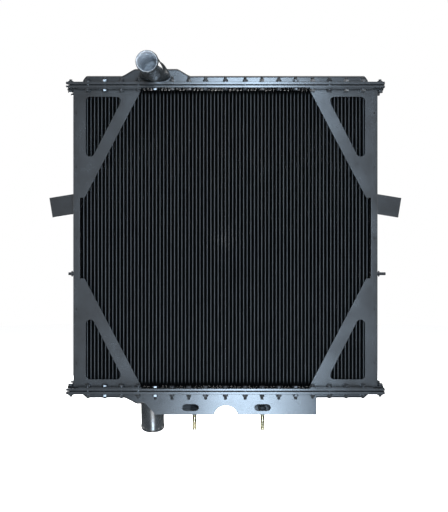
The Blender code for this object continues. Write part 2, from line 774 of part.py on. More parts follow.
def make_lower_bracket():
    """A channel around the bottom tank. Only its front wall runs on past the outlet neck."""
    inner = TANK_DEPTH / 2 + GAP
    outer = inner + BRACKET_WALL
    top = BRACKET_DROP - GAP
    half = [(outer, top), (outer, 0), (-outer, 0), (-outer, top)]
    section = half + [(-inner, top), (-inner, BRACKET_WALL), (inner, BRACKET_WALL), (inner, top)]
    mesh = bmesh.new()
    add_plate(mesh, section, [], "x", BRACKET_LEFT, BRACKET_RIGHT)
    bracket = new_piece("lower_mount_bracket", mesh, PAINT)

    cuts = bmesh.new()
    clear_of_neck = rectangle(BRACKET_LEFT - CUT_MARGIN, BRACKET_LEG_LEFT, -inner, outer + CUT_MARGIN)
    add_plate(cuts, clear_of_neck, [], "z", -CUT_MARGIN, BRACKET_DROP + CUT_MARGIN)
    notch = circle((NOTCH_X, NOTCH_HEIGHT - NOTCH_RADIUS), 2 * NOTCH_RADIUS, 2 * ROUND_SIDES)
    add_plate(cuts, notch, [], "y", -outer - CUT_MARGIN, outer + CUT_MARGIN)
    for x in SLOT_X:
        slot = slot_outline((x, SLOT_Z), SLOT_SIZE, 4)
        add_plate(cuts, slot, [], "y", -outer - CUT_MARGIN, -inner + CUT_MARGIN / 2)
    for x in STUD_X:
        hole = circle((x, 0), STUD_DIAMETER + 2 * BOLT_CLEARANCE, ROUND_SIDES)
        add_plate(cuts, hole, [], "z", -CUT_MARGIN, BRACKET_WALL + CUT_MARGIN / 2)
    combine(bracket, cuts, "DIFFERENCE", "cuts")

    corner = bmesh.new()
    width, height = BRACKET_CUT
    slope = height / width
    left = BRACKET_LEFT - CUT_MARGIN
    triangle = [(left, -CUT_MARGIN), (BRACKET_LEFT + width + CUT_MARGIN / slope, -CUT_MARGIN)]
    triangle.append((left, height + CUT_MARGIN * slope))
    add_plate(corner, triangle, [], "y", -outer - CUT_MARGIN, -inner + CUT_MARGIN / 2)
    combine(bracket, corner, "DIFFERENCE", "corner")


def make_stud(side_name, x):
    """A stud hanging from the bottom leg, with its head and washer inside the channel."""
    seat = BRACKET_WALL + WASHER_THICKNESS + 2 * GAP
    stud = bmesh.new()
    levels = (seat + STUD_HEAD_HEIGHT, seat, -STUD_LENGTH)
    shank = circle((0, 0), STUD_DIAMETER, ROUND_SIDES)
    add_headed_pin(stud, (x, 0), hexagon((0, 0), STUD_HEX), shank, "z", levels)
    new_piece(side_name + "_mount_stud", stud, YELLOW_ZINC)

    washer = bmesh.new()
    hole = circle((x, 0), STUD_DIAMETER + 2 * BOLT_CLEARANCE, ROUND_SIDES)
    low = BRACKET_WALL + GAP
    add_plate(washer, circle((x, 0), WASHER_DIAMETER, ROUND_SIDES), [hole], "z", low, low + WASHER_THICKNESS)
    new_piece(side_name + "_stud_washer", washer, YELLOW_ZINC)


def make_drain_cock(tank):
    wall = TANK_DEPTH / 2
    centre = Vector((COCK_X, wall, level(BOTTOM, STACK + COCK_DROP)))
    stub, boss, body = COCK_STUB_DIAMETER / 2, COCK_BOSS_DIAMETER / 2, COCK_BODY_DIAMETER / 2
    bore = COCK_BORE_DIAMETER / 2
    boss_end = GAP + COCK_BOSS_THICKNESS
    end = GAP + COCK_LENGTH
    profile = [(stub, -2 * TANK_WALL), (stub, GAP), (boss, GAP), (boss, boss_end), (body, boss_end)]
    profile += [(body, end), (bore, end), (bore, end - COCK_BORE_DEPTH)]
    mesh = bmesh.new()
    add_turned(mesh, centre, profile, ROUND_SIDES)
    new_piece("drain_cock_body", mesh, BRASS)

    hole = bmesh.new()
    outline = circle((centre.x, centre.z), COCK_STUB_DIAMETER + 2 * GAP, ROUND_SIDES)
    add_plate(hole, outline, [], "y", wall - 2 * TANK_WALL, wall + TANK_WALL)
    combine(tank, hole, "DIFFERENCE", "cock_hole")

    key = bmesh.new()
    handle_low = KEY_STEM_OUT
    levels = (handle_low + KEY_THICKNESS, handle_low, -KEY_STEM_IN)
    handle = rectangle(-KEY_LENGTH / 2, KEY_LENGTH / 2, -KEY_WIDTH / 2, KEY_WIDTH / 2)
    stem = circle((0, 0), KEY_STEM_DIAMETER, SMALL_ROUND_SIDES)
    add_headed_pin(key, (0, 0), handle, stem, "y", levels)
    new_piece("drain_cock_key", key, BRASS, location=centre + Vector((0, end, 0)))


def clear_scene():
    for item in list(bpy.data.objects):
        bpy.data.objects.remove(item)


def main():
    clear_scene()
    make_core()
    make_header("top_header", TOP)
    make_header("bottom_header", BOTTOM)
    make_gasket("top_gasket", TOP)
    make_gasket("bottom_gasket", BOTTOM)
    top_tank = make_tank("top_tank", TOP)
    bottom_tank = make_tank("bottom_tank", BOTTOM)
    make_inlet(top_tank)
    make_outlet(bottom_tank)
    make_end_fasteners("top", TOP)
    make_end_fasteners("bottom", BOTTOM)
    for side, side_name in ((-1, "left"), (1, "right")):
        make_column(f"{side_name}_side_column", side)
        make_side_tab(f"{side_name}_side_bracket", side)
        make_side_tab_fasteners(side_name, side)
        make_side_pin(f"{side_name}_side_pin", side)
        for end, end_name in ((TOP, "top"), (BOTTOM, "bottom")):
            make_foot(f"{end_name}_{side_name}_foot", side, end)
            make_gusset(f"{end_name}_{side_name}_gusset", side, end)
    make_lower_bracket()
    for side_name, x in zip(("left", "right"), STUD_X):
        make_stud(side_name, x)
    make_drain_cock(bottom_tank)


main()
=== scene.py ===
"""Heavy-duty vehicle radiator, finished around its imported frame.

Upright tubes with wavy fins between them stand in two slotted headers. A tank is bolted to each header,
with a hose neck on each tank. Columns, feet and gussets stiffen the core, and a channel carries it on two
studs. The front faces -Y. Sizes are in metres. Places come from the frame's own boxes.
"""

import math

import bmesh
import bpy
from mathutils import Matrix, Vector


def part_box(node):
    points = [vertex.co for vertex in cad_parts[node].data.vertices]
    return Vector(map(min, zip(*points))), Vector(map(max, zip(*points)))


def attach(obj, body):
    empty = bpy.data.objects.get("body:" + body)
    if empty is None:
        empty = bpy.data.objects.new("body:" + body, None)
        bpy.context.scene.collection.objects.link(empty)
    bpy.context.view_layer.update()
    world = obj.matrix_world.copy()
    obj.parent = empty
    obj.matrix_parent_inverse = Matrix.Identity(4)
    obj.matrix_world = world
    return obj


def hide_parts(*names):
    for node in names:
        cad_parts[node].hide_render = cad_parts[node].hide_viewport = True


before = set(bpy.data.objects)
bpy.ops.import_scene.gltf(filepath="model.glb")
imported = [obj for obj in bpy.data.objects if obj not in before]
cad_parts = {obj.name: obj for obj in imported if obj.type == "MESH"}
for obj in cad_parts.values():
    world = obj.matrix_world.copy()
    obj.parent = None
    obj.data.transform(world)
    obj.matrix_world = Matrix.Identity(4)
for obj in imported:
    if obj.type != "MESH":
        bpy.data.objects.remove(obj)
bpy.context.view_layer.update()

TOP = 1
BOTTOM = -1
END_NAMES = {TOP: "top", BOTTOM: "bottom"}
SIDE_NAMES = {-1: "left", 1: "right"}
GAP = 0.0003  # left between parts that meet

# Core
TUBE_COUNT = 79
TUBE_WIDTH = 0.0026
TUBE_WALL = 0.0004
FIN_PITCH = 0.0021
FIN_THICKNESS = 0.00015
FIN_RECESS = 0.0015
FIN_CREST = 0.0035  # the chevron's rise in the middle of the core's depth, which shuts the view through
FIN_LEVELLED = 6  # folds over which the chevron flattens below the top header
FIN_PIECES = 4
FIN_END_CLEARANCE = 0.001
FIN_SIDE_CLEARANCE = 0.00005
PAINTED_SHADE_FADES_IN = 0.018  # painted shade under the headers: its reach from the tubes' ends
PAINTED_SHADE_IS_WHOLE = 0.010

# Tanks
TANK_WALL = 0.003
TANK_HALF_DEPTH = 0.035
TANK_CORNER = 0.006
TANK_FILLET = 0.003
TANK_END_INSET = 0.0480
TANK_END_SLOPE = 0.013
TANK_STEPS = 10  # sections along each slope
SHELL_SINK = 0.004  # how far the shell's wall reaches into the flange
CAVITY_SINK = 0.012  # how far its hollow reaches, past the gasket's face
FLANGE_CORNER = 0.004
FLANGE_RIM = 0.0045  # edges this near a plate's outline are rounded
# low height, height at the ends, height of the raised part, its middle, its half length, its slopes
TANK_SHAPES = {
    TOP: (0.0225, 0.009, 0.044, -0.211, 0.064, 0.040),
    BOTTOM: (0.015, 0.006, 0.0335, -0.227, 0.043, 0.038),
}

# Tank bolts, three eighths of an inch
BOLT_PITCH = 0.051
MIDDLE_BOLT_PITCH = 0.060
BOLTS_PER_SIDE = 17
BOLT_ROW_Y = 0.048
END_BOLT_X = 0.473
END_BOLT_Y = 0.024
BOLT_DIAMETER = 0.0095
BOLT_HEX = 0.0143
BOLT_HEAD_HEIGHT = 0.0064
BOLT_NUT_HEIGHT = 0.008
BOLT_TIP = 0.0045
BOLT_FLANGE_RADIUS = 0.0086
BOLT_SEAT_RADIUS = 0.0080
BOLT_THREAD_LENGTH = 0.0085
BOLT_THREAD_DEPTH = 0.0006
BOLT_THREAD_PITCH = 0.0016
BOLT_TURN_SEED = 3
ROW_TIP_EXTRA = 0.0040  # the bolts of the long rows reach further through their nuts
BOLT_CLEARANCE = 0.0003
GUSSET_FLANGE = 0.003
GUSSET_BOLTS_FROM = 0.255  # the row's bolts beyond this distance clamp a gusset's flange
FOOT_THICKNESS = 0.003

# Hose necks
NECK_SIDES = 64
NECK_WALL = 0.003
BEAD_HEIGHT = 0.0015
BEAD_WIDTH = 0.008
BEAD_FROM_END = 0.004
NECK_LIP = 0.0008  # the chamfer round a neck's mouth
PORT_INSET = 0.002  # how much narrower a tank's port is than its neck's bore
INLET_DIAMETER = 0.0635
INLET_ROOT_X = -0.2145
INLET_DRIFT = -0.010
INLET_MOUTH_DROP = 0.0015
INLET_ROOT_WIDTH = 0.093
INLET_ROOT_HEIGHT = 0.041
INLET_FLARE_LENGTH = 0.045
INLET_FLARE_STEPS = 14
INLET_FULL_HEIGHT_AT = 0.55  # the share of the flare where the neck has its full height
INLET_BORE_DEPTHS = (0.030, 0.060)
INLET_SEAT = 0.001
INLET_LENGTH = -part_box("inlet_neck")[0].y - TANK_HALF_DEPTH - GAP
OUTLET_DIAMETER = 0.070
OUTLET_LENGTH = 0.086
OUTLET_STRAIGHT_FROM = 0.012
OUTLET_TILT = math.radians(13)
OUTLET_ROOT = (-0.2255, 0.001)

# Side pins and bracket bolts
PIN_RADIUS = 0.0045
PIN_TIP_EDGE = 0.001
COLLAR_THICKNESS = 0.003
COLLAR_EDGE = 0.0006
BRACKET_BOLT_RADIUS = 0.004
BRACKET_BOLT_HEX = 0.013
BRACKET_BOLT_HEAD = 0.0055
BRACKET_THREAD_LENGTH = 0.003
BRACKET_THREAD_DEPTH = 0.0005
BRACKET_THREAD_PITCH = 0.00125

# Studs
STUD_DIAMETER = 0.0127
STUD_PITCH = 0.00195
STUD_THREAD_DEPTH = 0.0006
STUD_HEX = 0.019
STUD_HEAD_HEIGHT = 0.008
STUD_SHANK_END = -0.0005
STUD_THREAD_TOP = -0.0015
STUD_RINGS_PER_TURN = 5
WASHER_CLEARANCE = 0.0003
WASHER_EDGE = 0.0004

# Drain cock, by radius and by distance from the sump's rear wall
COCK_SPIGOT_RADIUS = 0.005
COCK_BOSS_THICKNESS = 0.006
COCK_BARREL_RADIUS = 0.0065
COCK_WAIST_RADIUS = 0.0053
COCK_WAIST_END = 0.009
COCK_HEX = 0.0150
COCK_HEX_SPAN = (0.0125, 0.0195)
COCK_BORE_RADIUS = 0.0033
COCK_BORE_DEPTH = 0.014
KEY_STEM_RADIUS = 0.003
KEY_HUB_RADIUS = 0.0042
KEY_HALF_HEIGHT = 0.0035
KEY_CLEARANCE = 0.003  # between the cock's end and the key's wings
KEY_STEPS = 24
KEY_TIP_FROM = 0.82  # the share of a wing where its tip begins to round

# Studio
CAMERA_DISTANCE = 2.6
FLOOR_HEIGHT = -0.42
FLOOR_RADIUS = 7

core_low, core_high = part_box("radiator_core")
flange_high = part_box("top_header")[1]
MIDDLE_Z = (core_low.z + core_high.z) / 2
CORE_HEIGHT = core_high.z - core_low.z
TUBE_PITCH = (core_high.x + TUBE_WIDTH / 2) / ((TUBE_COUNT + 1) / 2)
FLANGE_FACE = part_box("top_gasket")[1].z + GAP - core_high.z
STACK = 0.018  # header, gasket and tank flange together


def level(end, distance):
    """Height of the plane this far outside the core, at its top or bottom end."""
    return MIDDLE_Z + end * (CORE_HEIGHT / 2 + distance)


# ---------------- node trees


class Wire:
    """An output of a node. Arithmetic on it adds Math nodes to its tree."""

    def __init__(self, tree, socket=None):
        self.tree = tree
        self.socket = socket

    def node(self, kind, settings=None, inputs=None, output=0):
        """Adds a node, applies its settings, fills its sockets, and returns one of its outputs."""
        made = self.tree.nodes.new(kind)
        for name, value in (settings or {}).items():
            setattr(made, name, value)
        for name, value in (inputs or {}).items():
            if isinstance(value, Wire):
                self.tree.links.new(value.socket, made.inputs[name])
            else:
                made.inputs[name].default_value = value
        return Wire(self.tree, made.outputs[output])

    def other(self, name):
        """Another output of the same node."""
        return Wire(self.tree, self.socket.node.outputs[name])

    def math(self, operation, first, second=0.0):
        return self.node("ShaderNodeMath", {"operation": operation}, {0: first, 1: second})

    def __add__(self, other):
        return self.math("ADD", self, other)

    def __radd__(self, other):
        return self.math("ADD", other, self)

    def __sub__(self, other):
        return self.math("SUBTRACT", self, other)

    def __rsub__(self, other):
        return self.math("SUBTRACT", other, self)

    def __mul__(self, other):
        return self.math("MULTIPLY", self, other)

    def __rmul__(self, other):
        return self.math("MULTIPLY", other, self)

    def __truediv__(self, other):
        return self.math("DIVIDE", self, other)


def noise(place, scale, detail=3.0, roughness=0.5):
    inputs = {"Vector": place, "Scale": scale, "Detail": detail, "Roughness": roughness}
    return place.node("ShaderNodeTexNoise", None, inputs)


def stretched(place, scale):
    """The place with each axis scaled, so that a pattern runs along the part."""
    return place.node("ShaderNodeMapping", None, {"Vector": place, "Scale": scale})


def spread(value, low, high):
    """Turns the middle of a noise's range into low to high."""
    return rescale(value, 0.3, 0.7, low, high)


def rescale(value, from_low, from_high, low, high):
    inputs = {"Value": value, "From Min": from_low, "From Max": from_high, "To Min": low, "To Max": high}
    return value.node("ShaderNodeMapRange", None, inputs)


def blend_colours(factor, first, second):
    """A colour between two, by a factor over the surface. The first may already vary."""
    inputs = {0: factor, 6: first if isinstance(first, Wire) else (*first, 1), 7: (*second, 1)}
    return factor.node("ShaderNodeMix", {"data_type": "RGBA"}, inputs, output=2)


def bump(height, strength, distance):
    inputs = {"Height": height, "Strength": strength, "Distance": distance}
    return height.node("ShaderNodeBump", None, inputs)


class Finish:
    """A material with a Principled shader, and the object coordinates its pattern reads."""

    def __init__(self, name, **constants):
        self.material = bpy.data.materials.new(name)
        self.material.use_nodes = True
        self.tree = self.material.node_tree
        self.shader = self.tree.nodes["Principled BSDF"]
        self.place = Wire(self.tree).node("ShaderNodeTexCoord").other("Object")
        for socket, value in constants.items():
            self.shader.inputs[socket.replace("_", " ").title().replace("Ior", "IOR")].default_value = value

    def drive(self, **wires):
        for socket, wire in wires.items():
            self.tree.links.new(wire.socket, self.shader.inputs[socket.replace("_", " ").title()])


# ---------------- finishes


def make_satin_black():
    """Sprayed satin black over steel: orange peel, faint dust and handling marks."""
    finish = Finish("satin_black_paint")
    cloud = noise(finish.place, 14, 4)
    dust = noise(finish.place, 160, 5, 0.65)
    peel = noise(finish.place, 420, 2)
    rub = noise(stretched(finish.place, (6, 6, 60)), 9, 4)
    film = spread(cloud * 0.6 + dust * 0.4, 0, 1)
    finish.drive(
        base_color=blend_colours(film, (0.0065, 0.0072, 0.008), (0.014, 0.0155, 0.017)),
        roughness=spread(cloud * 0.5 + rub * 0.3 + dust * 0.2, 0.17, 0.27),
        normal=bump(peel * 0.8 + dust * 0.2, 0.035, 0.0002),
    )
    return finish.material


def make_cast_black():
    """The same paint over sand-cast necks: coarser grain and a softer shine."""
    finish = Finish("cast_black_paint", specular_ior_level=1.0)
    cloud = noise(finish.place, 30, 4)
    grain = noise(finish.place, 520, 3)
    skin = cloud * 0.5 + grain * 0.5
    finish.drive(
        base_color=blend_colours(spread(skin, 0, 1), (0.012, 0.013, 0.0135), (0.024, 0.026, 0.027)),
        roughness=spread(skin, 0.22, 0.32),
        normal=bump(grain, 0.03, 0.0002),
    )
    return finish.material


def make_core_black():
    """Thin dull black on the brazed tubes, with runs along them, and painted shade at their ends: black
    without shine, where the headers overhang them.
    """
    finish = Finish("core_black_paint")
    height = finish.place.node("ShaderNodeSeparateXYZ", None, {0: finish.place}).other("Z")
    from_middle = (height - MIDDLE_Z).math("ABSOLUTE", height - MIDDLE_Z)
    tube_end = core_high.z - MIDDLE_Z
    # Painted shade: the tubes turn black and lose their shine towards the headers.
    painted_shade = rescale(from_middle, tube_end - PAINTED_SHADE_FADES_IN, tube_end - PAINTED_SHADE_IS_WHOLE, 0, 1)
    run = noise(stretched(finish.place, (90, 90, 6)), 3, 3)
    grain = noise(finish.place, 900, 3)
    colour = blend_colours(spread(run, 0, 1), (0.010, 0.011, 0.012), (0.024, 0.026, 0.028))
    finish.drive(
        base_color=blend_colours(painted_shade, colour, (0.0008, 0.0008, 0.0008)),
        metallic=painted_shade,
        roughness=spread(run * 0.6 + grain * 0.4, 0.42, 0.60),
        normal=bump(grain, 0.15, 0.0002),
    )
    return finish.material


def make_fin_black():
    """The fins are painted far darker than the tubes and barely reflect: painted shade for the deep gaps
    between the tubes, with a mottle like soot.
    """
    # Painted shade: near-black colours and almost no shine stand in for the shade between the tubes.
    finish = Finish("fin_black_painted_shade", specular_ior_level=0.02)
    soot_and_shade = noise(finish.place, 60, 4)
    colour = blend_colours(spread(soot_and_shade, 0, 1), (0.0030, 0.0032, 0.0035), (0.0065, 0.0068, 0.0072))
    finish.drive(base_color=colour, roughness=spread(soot_and_shade, 0.85, 0.98))
    return finish.material


def make_gasket_rubber():
    finish = Finish("gasket_rubber")
    grain = noise(finish.place, 500, 4)
    finish.drive(
        base_color=blend_colours(spread(grain, 0, 1), (0.045, 0.046, 0.047), (0.085, 0.086, 0.087)),
        roughness=spread(grain, 0.45, 0.65),
        normal=bump(grain, 0.4, 0.0003),
    )
    return finish.material


def make_bolt_steel():
    """Dark plated steel, brighter where a wrench has turned it."""
    finish = Finish("dark_bolt_steel", metallic=0.6)
    wrench = noise(finish.place, 210, 3)
    grain = noise(finish.place, 1500, 2)
    finish.drive(
        base_color=blend_colours(spread(wrench, 0, 1), (0.020, 0.021, 0.022), (0.085, 0.087, 0.090)),
        roughness=spread(wrench * 0.7 + grain * 0.3, 0.14, 0.26),
        normal=bump(grain, 0.1, 0.0002),
    )
    return finish.material


def make_yellow_zinc():
    """Yellow zinc plating, drifting between straw, pink and green."""
    finish = Finish("yellow_zinc_plating", metallic=1.0)
    film = noise(finish.place, 70, 3)
    patch = noise(finish.place, 190, 4)
    straw = blend_colours(spread(film, 0, 1), (0.80, 0.74, 0.46), (0.74, 0.80, 0.60))
    finish.drive(
        base_color=blend_colours(spread(patch, 0, 0.45), straw, (0.80, 0.66, 0.52)),
        roughness=spread(patch, 0.16, 0.30),
        normal=bump(noise(finish.place, 1600, 2), 0.1, 0.0002),
    )
    return finish.material


def make_brass():
    finish = Finish("cast_brass", metallic=1.0)
    tarnish = noise(finish.place, 120, 4)
    finish.drive(
        base_color=blend_colours(spread(tarnish, 0, 1), (0.62, 0.42, 0.15), (0.40, 0.27, 0.11)),
        roughness=spread(tarnish, 0.25, 0.5),
        normal=bump(noise(finish.place, 900, 3), 0.2, 0.0003),
    )
    return finish.material


def make_bare_aluminium():
    """Cast bore, wiped clean: fine turning marks and dull blotches."""
    finish = Finish("bare_cast_aluminium", metallic=0.35)
    blotch = noise(finish.place, 60, 4)
    turning = noise(stretched(finish.place, (20, 1600, 20)), 1, 2)
    finish.drive(
        base_color=blend_colours(spread(blotch, 0, 1), (0.42, 0.44, 0.47), (0.80, 0.82, 0.84)),
        roughness=spread(blotch * 0.7 + turning * 0.3, 0.30, 0.50),
        normal=bump(turning * 0.6 + blotch * 0.4, 0.25, 0.0003),
    )
    return finish.material


def make_finishes():
    return {
        "paint": make_satin_black(),
        "cast": make_cast_black(),
        "core": make_core_black(),
        "fin": make_fin_black(),
        "gasket": make_gasket_rubber(),
        "bolt": make_bolt_steel(),
        "zinc": make_yellow_zinc(),
        "brass": make_brass(),
        "bare": make_bare_aluminium(),
    }


SLOTS = {"paint": "black_paint", "cast": "black_paint", "core": "core"}
SLOTS |= {"bolt": "bolt_steel", "zinc": "yellow_zinc", "brass": "brass"}

finishes = make_finishes()

# ---------------- mesh helpers


def show(obj):
    bpy.context.scene.collection.objects.link(obj)


def box_and_middle(name):
    """A CAD node's two corners and the middle between them."""
    low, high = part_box(name)
    return low, high, (low + high) / 2


def rectangle(left, right, low, high):
    return [(left, low), (right, low), (right, high), (left, high)]


def arc(centre, radius, start, stop, steps):
    angles = [start + (stop - start) * step / steps for step in range(steps + 1)]
    return [(centre[0] + radius * math.cos(a), centre[1] + radius * math.sin(a)) for a in angles]


def circle(centre, diameter, sides):
    return arc(centre, diameter / 2, 0, 2 * math.pi, sides)[:-1]


def add_loft(mesh, rings, closed=False):
    """Joins rings of equal count, and caps the ends unless the last ring joins the first."""
    rows = [[mesh.verts.new(point) for point in ring] for ring in rings]
    pairs = list(zip(rows, rows[1:]))
    if closed:
        pairs.append((rows[-1], rows[0]))
    for first, second in pairs:
        for index in range(len(first)):
            follow = (index + 1) % len(first)
            mesh.faces.new((first[index], first[follow], second[follow], second[index]))
    if not closed:
        mesh.faces.new(reversed(rows[0]))
        mesh.faces.new(rows[-1])


def add_turned(mesh, profile, sides, place=(0, 0, 0), axis="z"):
    """Turns (radius, distance) pairs about an axis, with flat ends."""
    rings = []
    for radius, along in profile:
        points = circle((0, 0), 2 * radius, sides)
        rings.append([on_axis(axis, u, v, along) + Vector(place) for u, v in points])
    add_loft(mesh, rings)


def on_axis(axis, u, v, along):
    if axis == "x":
        return Vector((along, u, v))
    if axis == "y":
        return Vector((u, along, -v))
    return Vector((u, v, along))


def add_plate(mesh, outline, holes, low, high):
    """A level plate with holes through it."""
    start = len(mesh.faces)
    edges = []
    for ring in [outline, *holes]:
        verts = [mesh.verts.new((x, y, low)) for x, y in ring]
        edges += [mesh.edges.new(pair) for pair in zip(verts, verts[1:] + verts[:1])]
    bmesh.ops.triangle_fill(mesh, use_beauty=True, use_dissolve=False, edges=edges)
    mesh.faces.ensure_lookup_table()
    raised = bmesh.ops.extrude_face_region(mesh, geom=list(mesh.faces)[start:])
    verts = [item for item in raised["geom"] if isinstance(item, bmesh.types.BMVert)]
    bmesh.ops.translate(mesh, vec=(0, 0, high - low), verts=verts)


def new_object(name, mesh, kinds, smooth=None):
    """A finished mesh as an object, facing outwards, smooth below an angle where one is given."""
    bmesh.ops.recalc_face_normals(mesh, faces=mesh.faces)
    data = bpy.data.meshes.new(name)
    mesh.to_mesh(data)
    mesh.free()
    for kind in kinds:
        data.materials.append(finishes[kind])
    if smooth is not None:
        data.shade_smooth()
        data.set_sharp_from_angle(angle=math.radians(smooth))
    obj = bpy.data.objects.new(name, data)
    show(obj)
    return obj


def evaluated_copy(obj):
    """Turns the object's live modifiers into its mesh."""
    graph = bpy.context.evaluated_depsgraph_get()
    made = bpy.data.meshes.new_from_object(obj.evaluated_get(graph))
    obj.modifiers.clear()
    obj.data = made
    return obj


def cut(obj, cutter):
    """Takes the cutter's shape out of the object and removes the cutter."""
    modifier = obj.modifiers.new("cut", "BOOLEAN")
    modifier.operation = "DIFFERENCE"
    modifier.solver = "EXACT"
    modifier.material_mode = "TRANSFER"
    modifier.object = cutter
    evaluated_copy(obj)
    bpy.data.objects.remove(cutter)


def keep_flats(obj):
    """Weights the shading by face size, so that flats stay flat beside their rounded edges."""
    modifier = obj.modifiers.new("weighted", "WEIGHTED_NORMAL")
    modifier.keep_sharp = True
    return evaluated_copy(obj)


def join(parts, name):
    """Joins finished objects into one, keeping their materials."""
    with bpy.context.temp_override(active_object=parts[0], selected_editable_objects=parts):
        bpy.ops.object.join()
    parts[0].name = name
    parts[0].data.name = name
    return parts[0]


def settle(obj, kind, *nodes, body="root"):
    """Says what a finished piece rides on and what it stands for. Its kind, the finish slot, is not used."""
    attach(obj, body)
    if nodes:
        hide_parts(*nodes)
    return obj


def soften(node, edge, shortest=0.0):
    """A copy of a CAD node whose sharp edges, down to the shortest, are rounded by this much."""
    mesh = bmesh.new()
    mesh.from_mesh(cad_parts[node].data)
    bmesh.ops.remove_doubles(mesh, verts=mesh.verts, dist=1e-5)
    bmesh.ops.dissolve_limit(mesh, angle_limit=math.radians(0.5), verts=mesh.verts, edges=mesh.edges)
    sharp = []
    for item in mesh.edges:
        if len(item.link_faces) == 2 and item.calc_face_angle(0) > math.radians(40):
            if item.calc_length() > max(2.2 * edge, shortest):
                sharp.append(item)
    settings = {"offset_type": "OFFSET", "profile": 0.5, "affect": "EDGES", "clamp_overlap": True}
    bmesh.ops.bevel(mesh, geom=sharp, offset=edge, segments=2, **settings)
    obj = new_object(node + "_finished", mesh, ["paint"], smooth=35)
    settle(keep_flats(obj), "paint", node)


# ---------------- repeats


def new_group(name, sockets):
    """An empty geometry tree with these inputs and a finish, and the node that gives them."""
    tree = bpy.data.node_groups.new(name, "GeometryNodeTree")
    for socket, kind in {**sockets, "Finish": "Material"}.items():
        tree.interface.new_socket(socket, in_out="INPUT", socket_type="NodeSocket" + kind)
    tree.interface.new_socket("Geometry", in_out="OUTPUT", socket_type="NodeSocketGeometry")
    given = Wire(tree).node("NodeGroupInput")
    return tree, given


def end_group(points, given, turn=None):
    """Puts the shape on the points, makes it real, and gives it its finish."""
    shape = given.node("GeometryNodeObjectInfo", None, {"Object": given.other("Shape")}).other("Geometry")
    inputs = {"Points": points, "Instance": shape}
    if turn is not None:
        inputs["Rotation"] = turn
    placed = given.node("GeometryNodeInstanceOnPoints", None, inputs)
    real = given.node("GeometryNodeRealizeInstances", None, {"Geometry": placed})
    inputs = {"Geometry": real, "Material": given.other("Finish")}
    finished = given.node("GeometryNodeSetMaterial", None, inputs)
    out = given.tree.nodes.new("NodeGroupOutput")
    given.tree.links.new(finished.socket, out.inputs[0])


def make_even_row_tree():
    """Copies of a shape at even steps."""
    sockets = {"Shape": "Object", "Count": "Int", "First Place": "Vector", "Step": "Vector"}
    tree, given = new_group("even_row", sockets)
    inputs = {"Count": given.other("Count"), "Start Location": given.other("First Place")}
    inputs["Offset"] = given.other("Step")
    points = given.node("GeometryNodeMeshLine", {"mode": "OFFSET"}, inputs)
    end_group(points, given)
    return tree


def make_bolt_rows_tree():
    """Bolts or nuts along both long sides: one in the middle, a wider pitch beside it, then even pitches."""
    sizes = ("Pitch", "Middle Pitch", "Row Distance", "Height", "Clamped From", "Clamped Shift")
    sockets = {"Shape": "Object", "Per Side": "Int", **dict.fromkeys(sizes, "Float"), "Seed": "Int"}
    tree, given = new_group("bolt_rows", sockets)
    per_side = given.other("Per Side")
    points = given.node("GeometryNodeMeshLine", None, {"Count": per_side * 2})
    index = given.node("GeometryNodeInputIndex")
    rear = index.math("FLOOR", (index + 0.5) / per_side)
    step = index - rear * per_side - (per_side - 1) / 2
    away = step.math("ABSOLUTE", step)
    along = step.math("SIGN", step) * (given.other("Middle Pitch") + (away - 1) * given.other("Pitch"))
    outside = along.math("GREATER_THAN", along.math("ABSOLUTE", along), given.other("Clamped From"))
    height = given.other("Height") + outside * (1 - rear) * given.other("Clamped Shift")
    across = (rear * 2 - 1) * given.other("Row Distance")
    place = given.node("ShaderNodeCombineXYZ", None, {"X": along, "Y": across, "Z": height})
    moved = given.node("GeometryNodeSetPosition", None, {"Geometry": points, "Position": place})
    inputs = {"Max": math.tau, "Seed": given.other("Seed")}
    spin = given.node("FunctionNodeRandomValue", {"data_type": "FLOAT"}, inputs, output=1)
    turn = given.node("ShaderNodeCombineXYZ", None, {"Z": spin})
    end_group(moved, given, turn)
    return tree


def grow(name, tree, values):
    """Evaluates a geometry tree with these inputs into a plain mesh object."""
    obj = bpy.data.objects.new(name, bpy.data.meshes.new(name))
    show(obj)
    modifier = obj.modifiers.new("grow", "NODES")
    modifier.node_group = tree
    for item in tree.interface.items_tree:
        if item.in_out == "INPUT":
            modifier[item.identifier] = values[item.name]
    evaluated_copy(obj)
    bpy.data.objects.remove(values["Shape"])
    return obj


# ---------------- core


def flat_tube_outline(half_depth, half_width, steps):
    """A flat tube's section, with round noses, as (x, y)."""
    back = arc((0, half_depth - half_width), half_width, 0, math.pi, steps)
    front = arc((0, half_width - half_depth), half_width, math.pi, math.tau, steps)
    return back + front


def make_tube_shape():
    mesh = bmesh.new()
    half_depth = core_high.y
    rings = []
    for height in (core_low.z, core_high.z):
        outline = flat_tube_outline(half_depth, TUBE_WIDTH / 2, 6)
        rings.append([Vector((x, y, height)) for x, y in outline])
    add_loft(mesh, rings)
    return new_object("tube_shape", mesh, ["core"], smooth=40)


def make_fin_shape():
    """One wavy fin strip, folded between two tubes."""
    mesh = bmesh.new()
    half_width = (TUBE_PITCH - TUBE_WIDTH) / 2 - FIN_SIDE_CLEARANCE
    front = core_low.y + FIN_RECESS
    back = core_high.y - FIN_RECESS
    low = core_low.z + FIN_END_CLEARANCE
    folds = int((CORE_HEIGHT - 2 * FIN_END_CLEARANCE) / FIN_PITCH)
    middle = (front + back) / 2
    rings = []
    for fold in range(folds + 1):
        x = half_width if fold % 2 else -half_width
        height = low + fold * FIN_PITCH
        route = ((front, 0), (middle, FIN_CREST * min(1, (folds - fold) / FIN_LEVELLED)), (back, 0))
        under = [Vector((x, y, height + rise - FIN_THICKNESS / 2)) for y, rise in route]
        over = [Vector((x, y, height + rise + FIN_THICKNESS / 2)) for y, rise in reversed(route)]
        rings.append(under + over)
    add_loft(mesh, rings)
    return new_object("fin_shape", mesh, ["fin"])


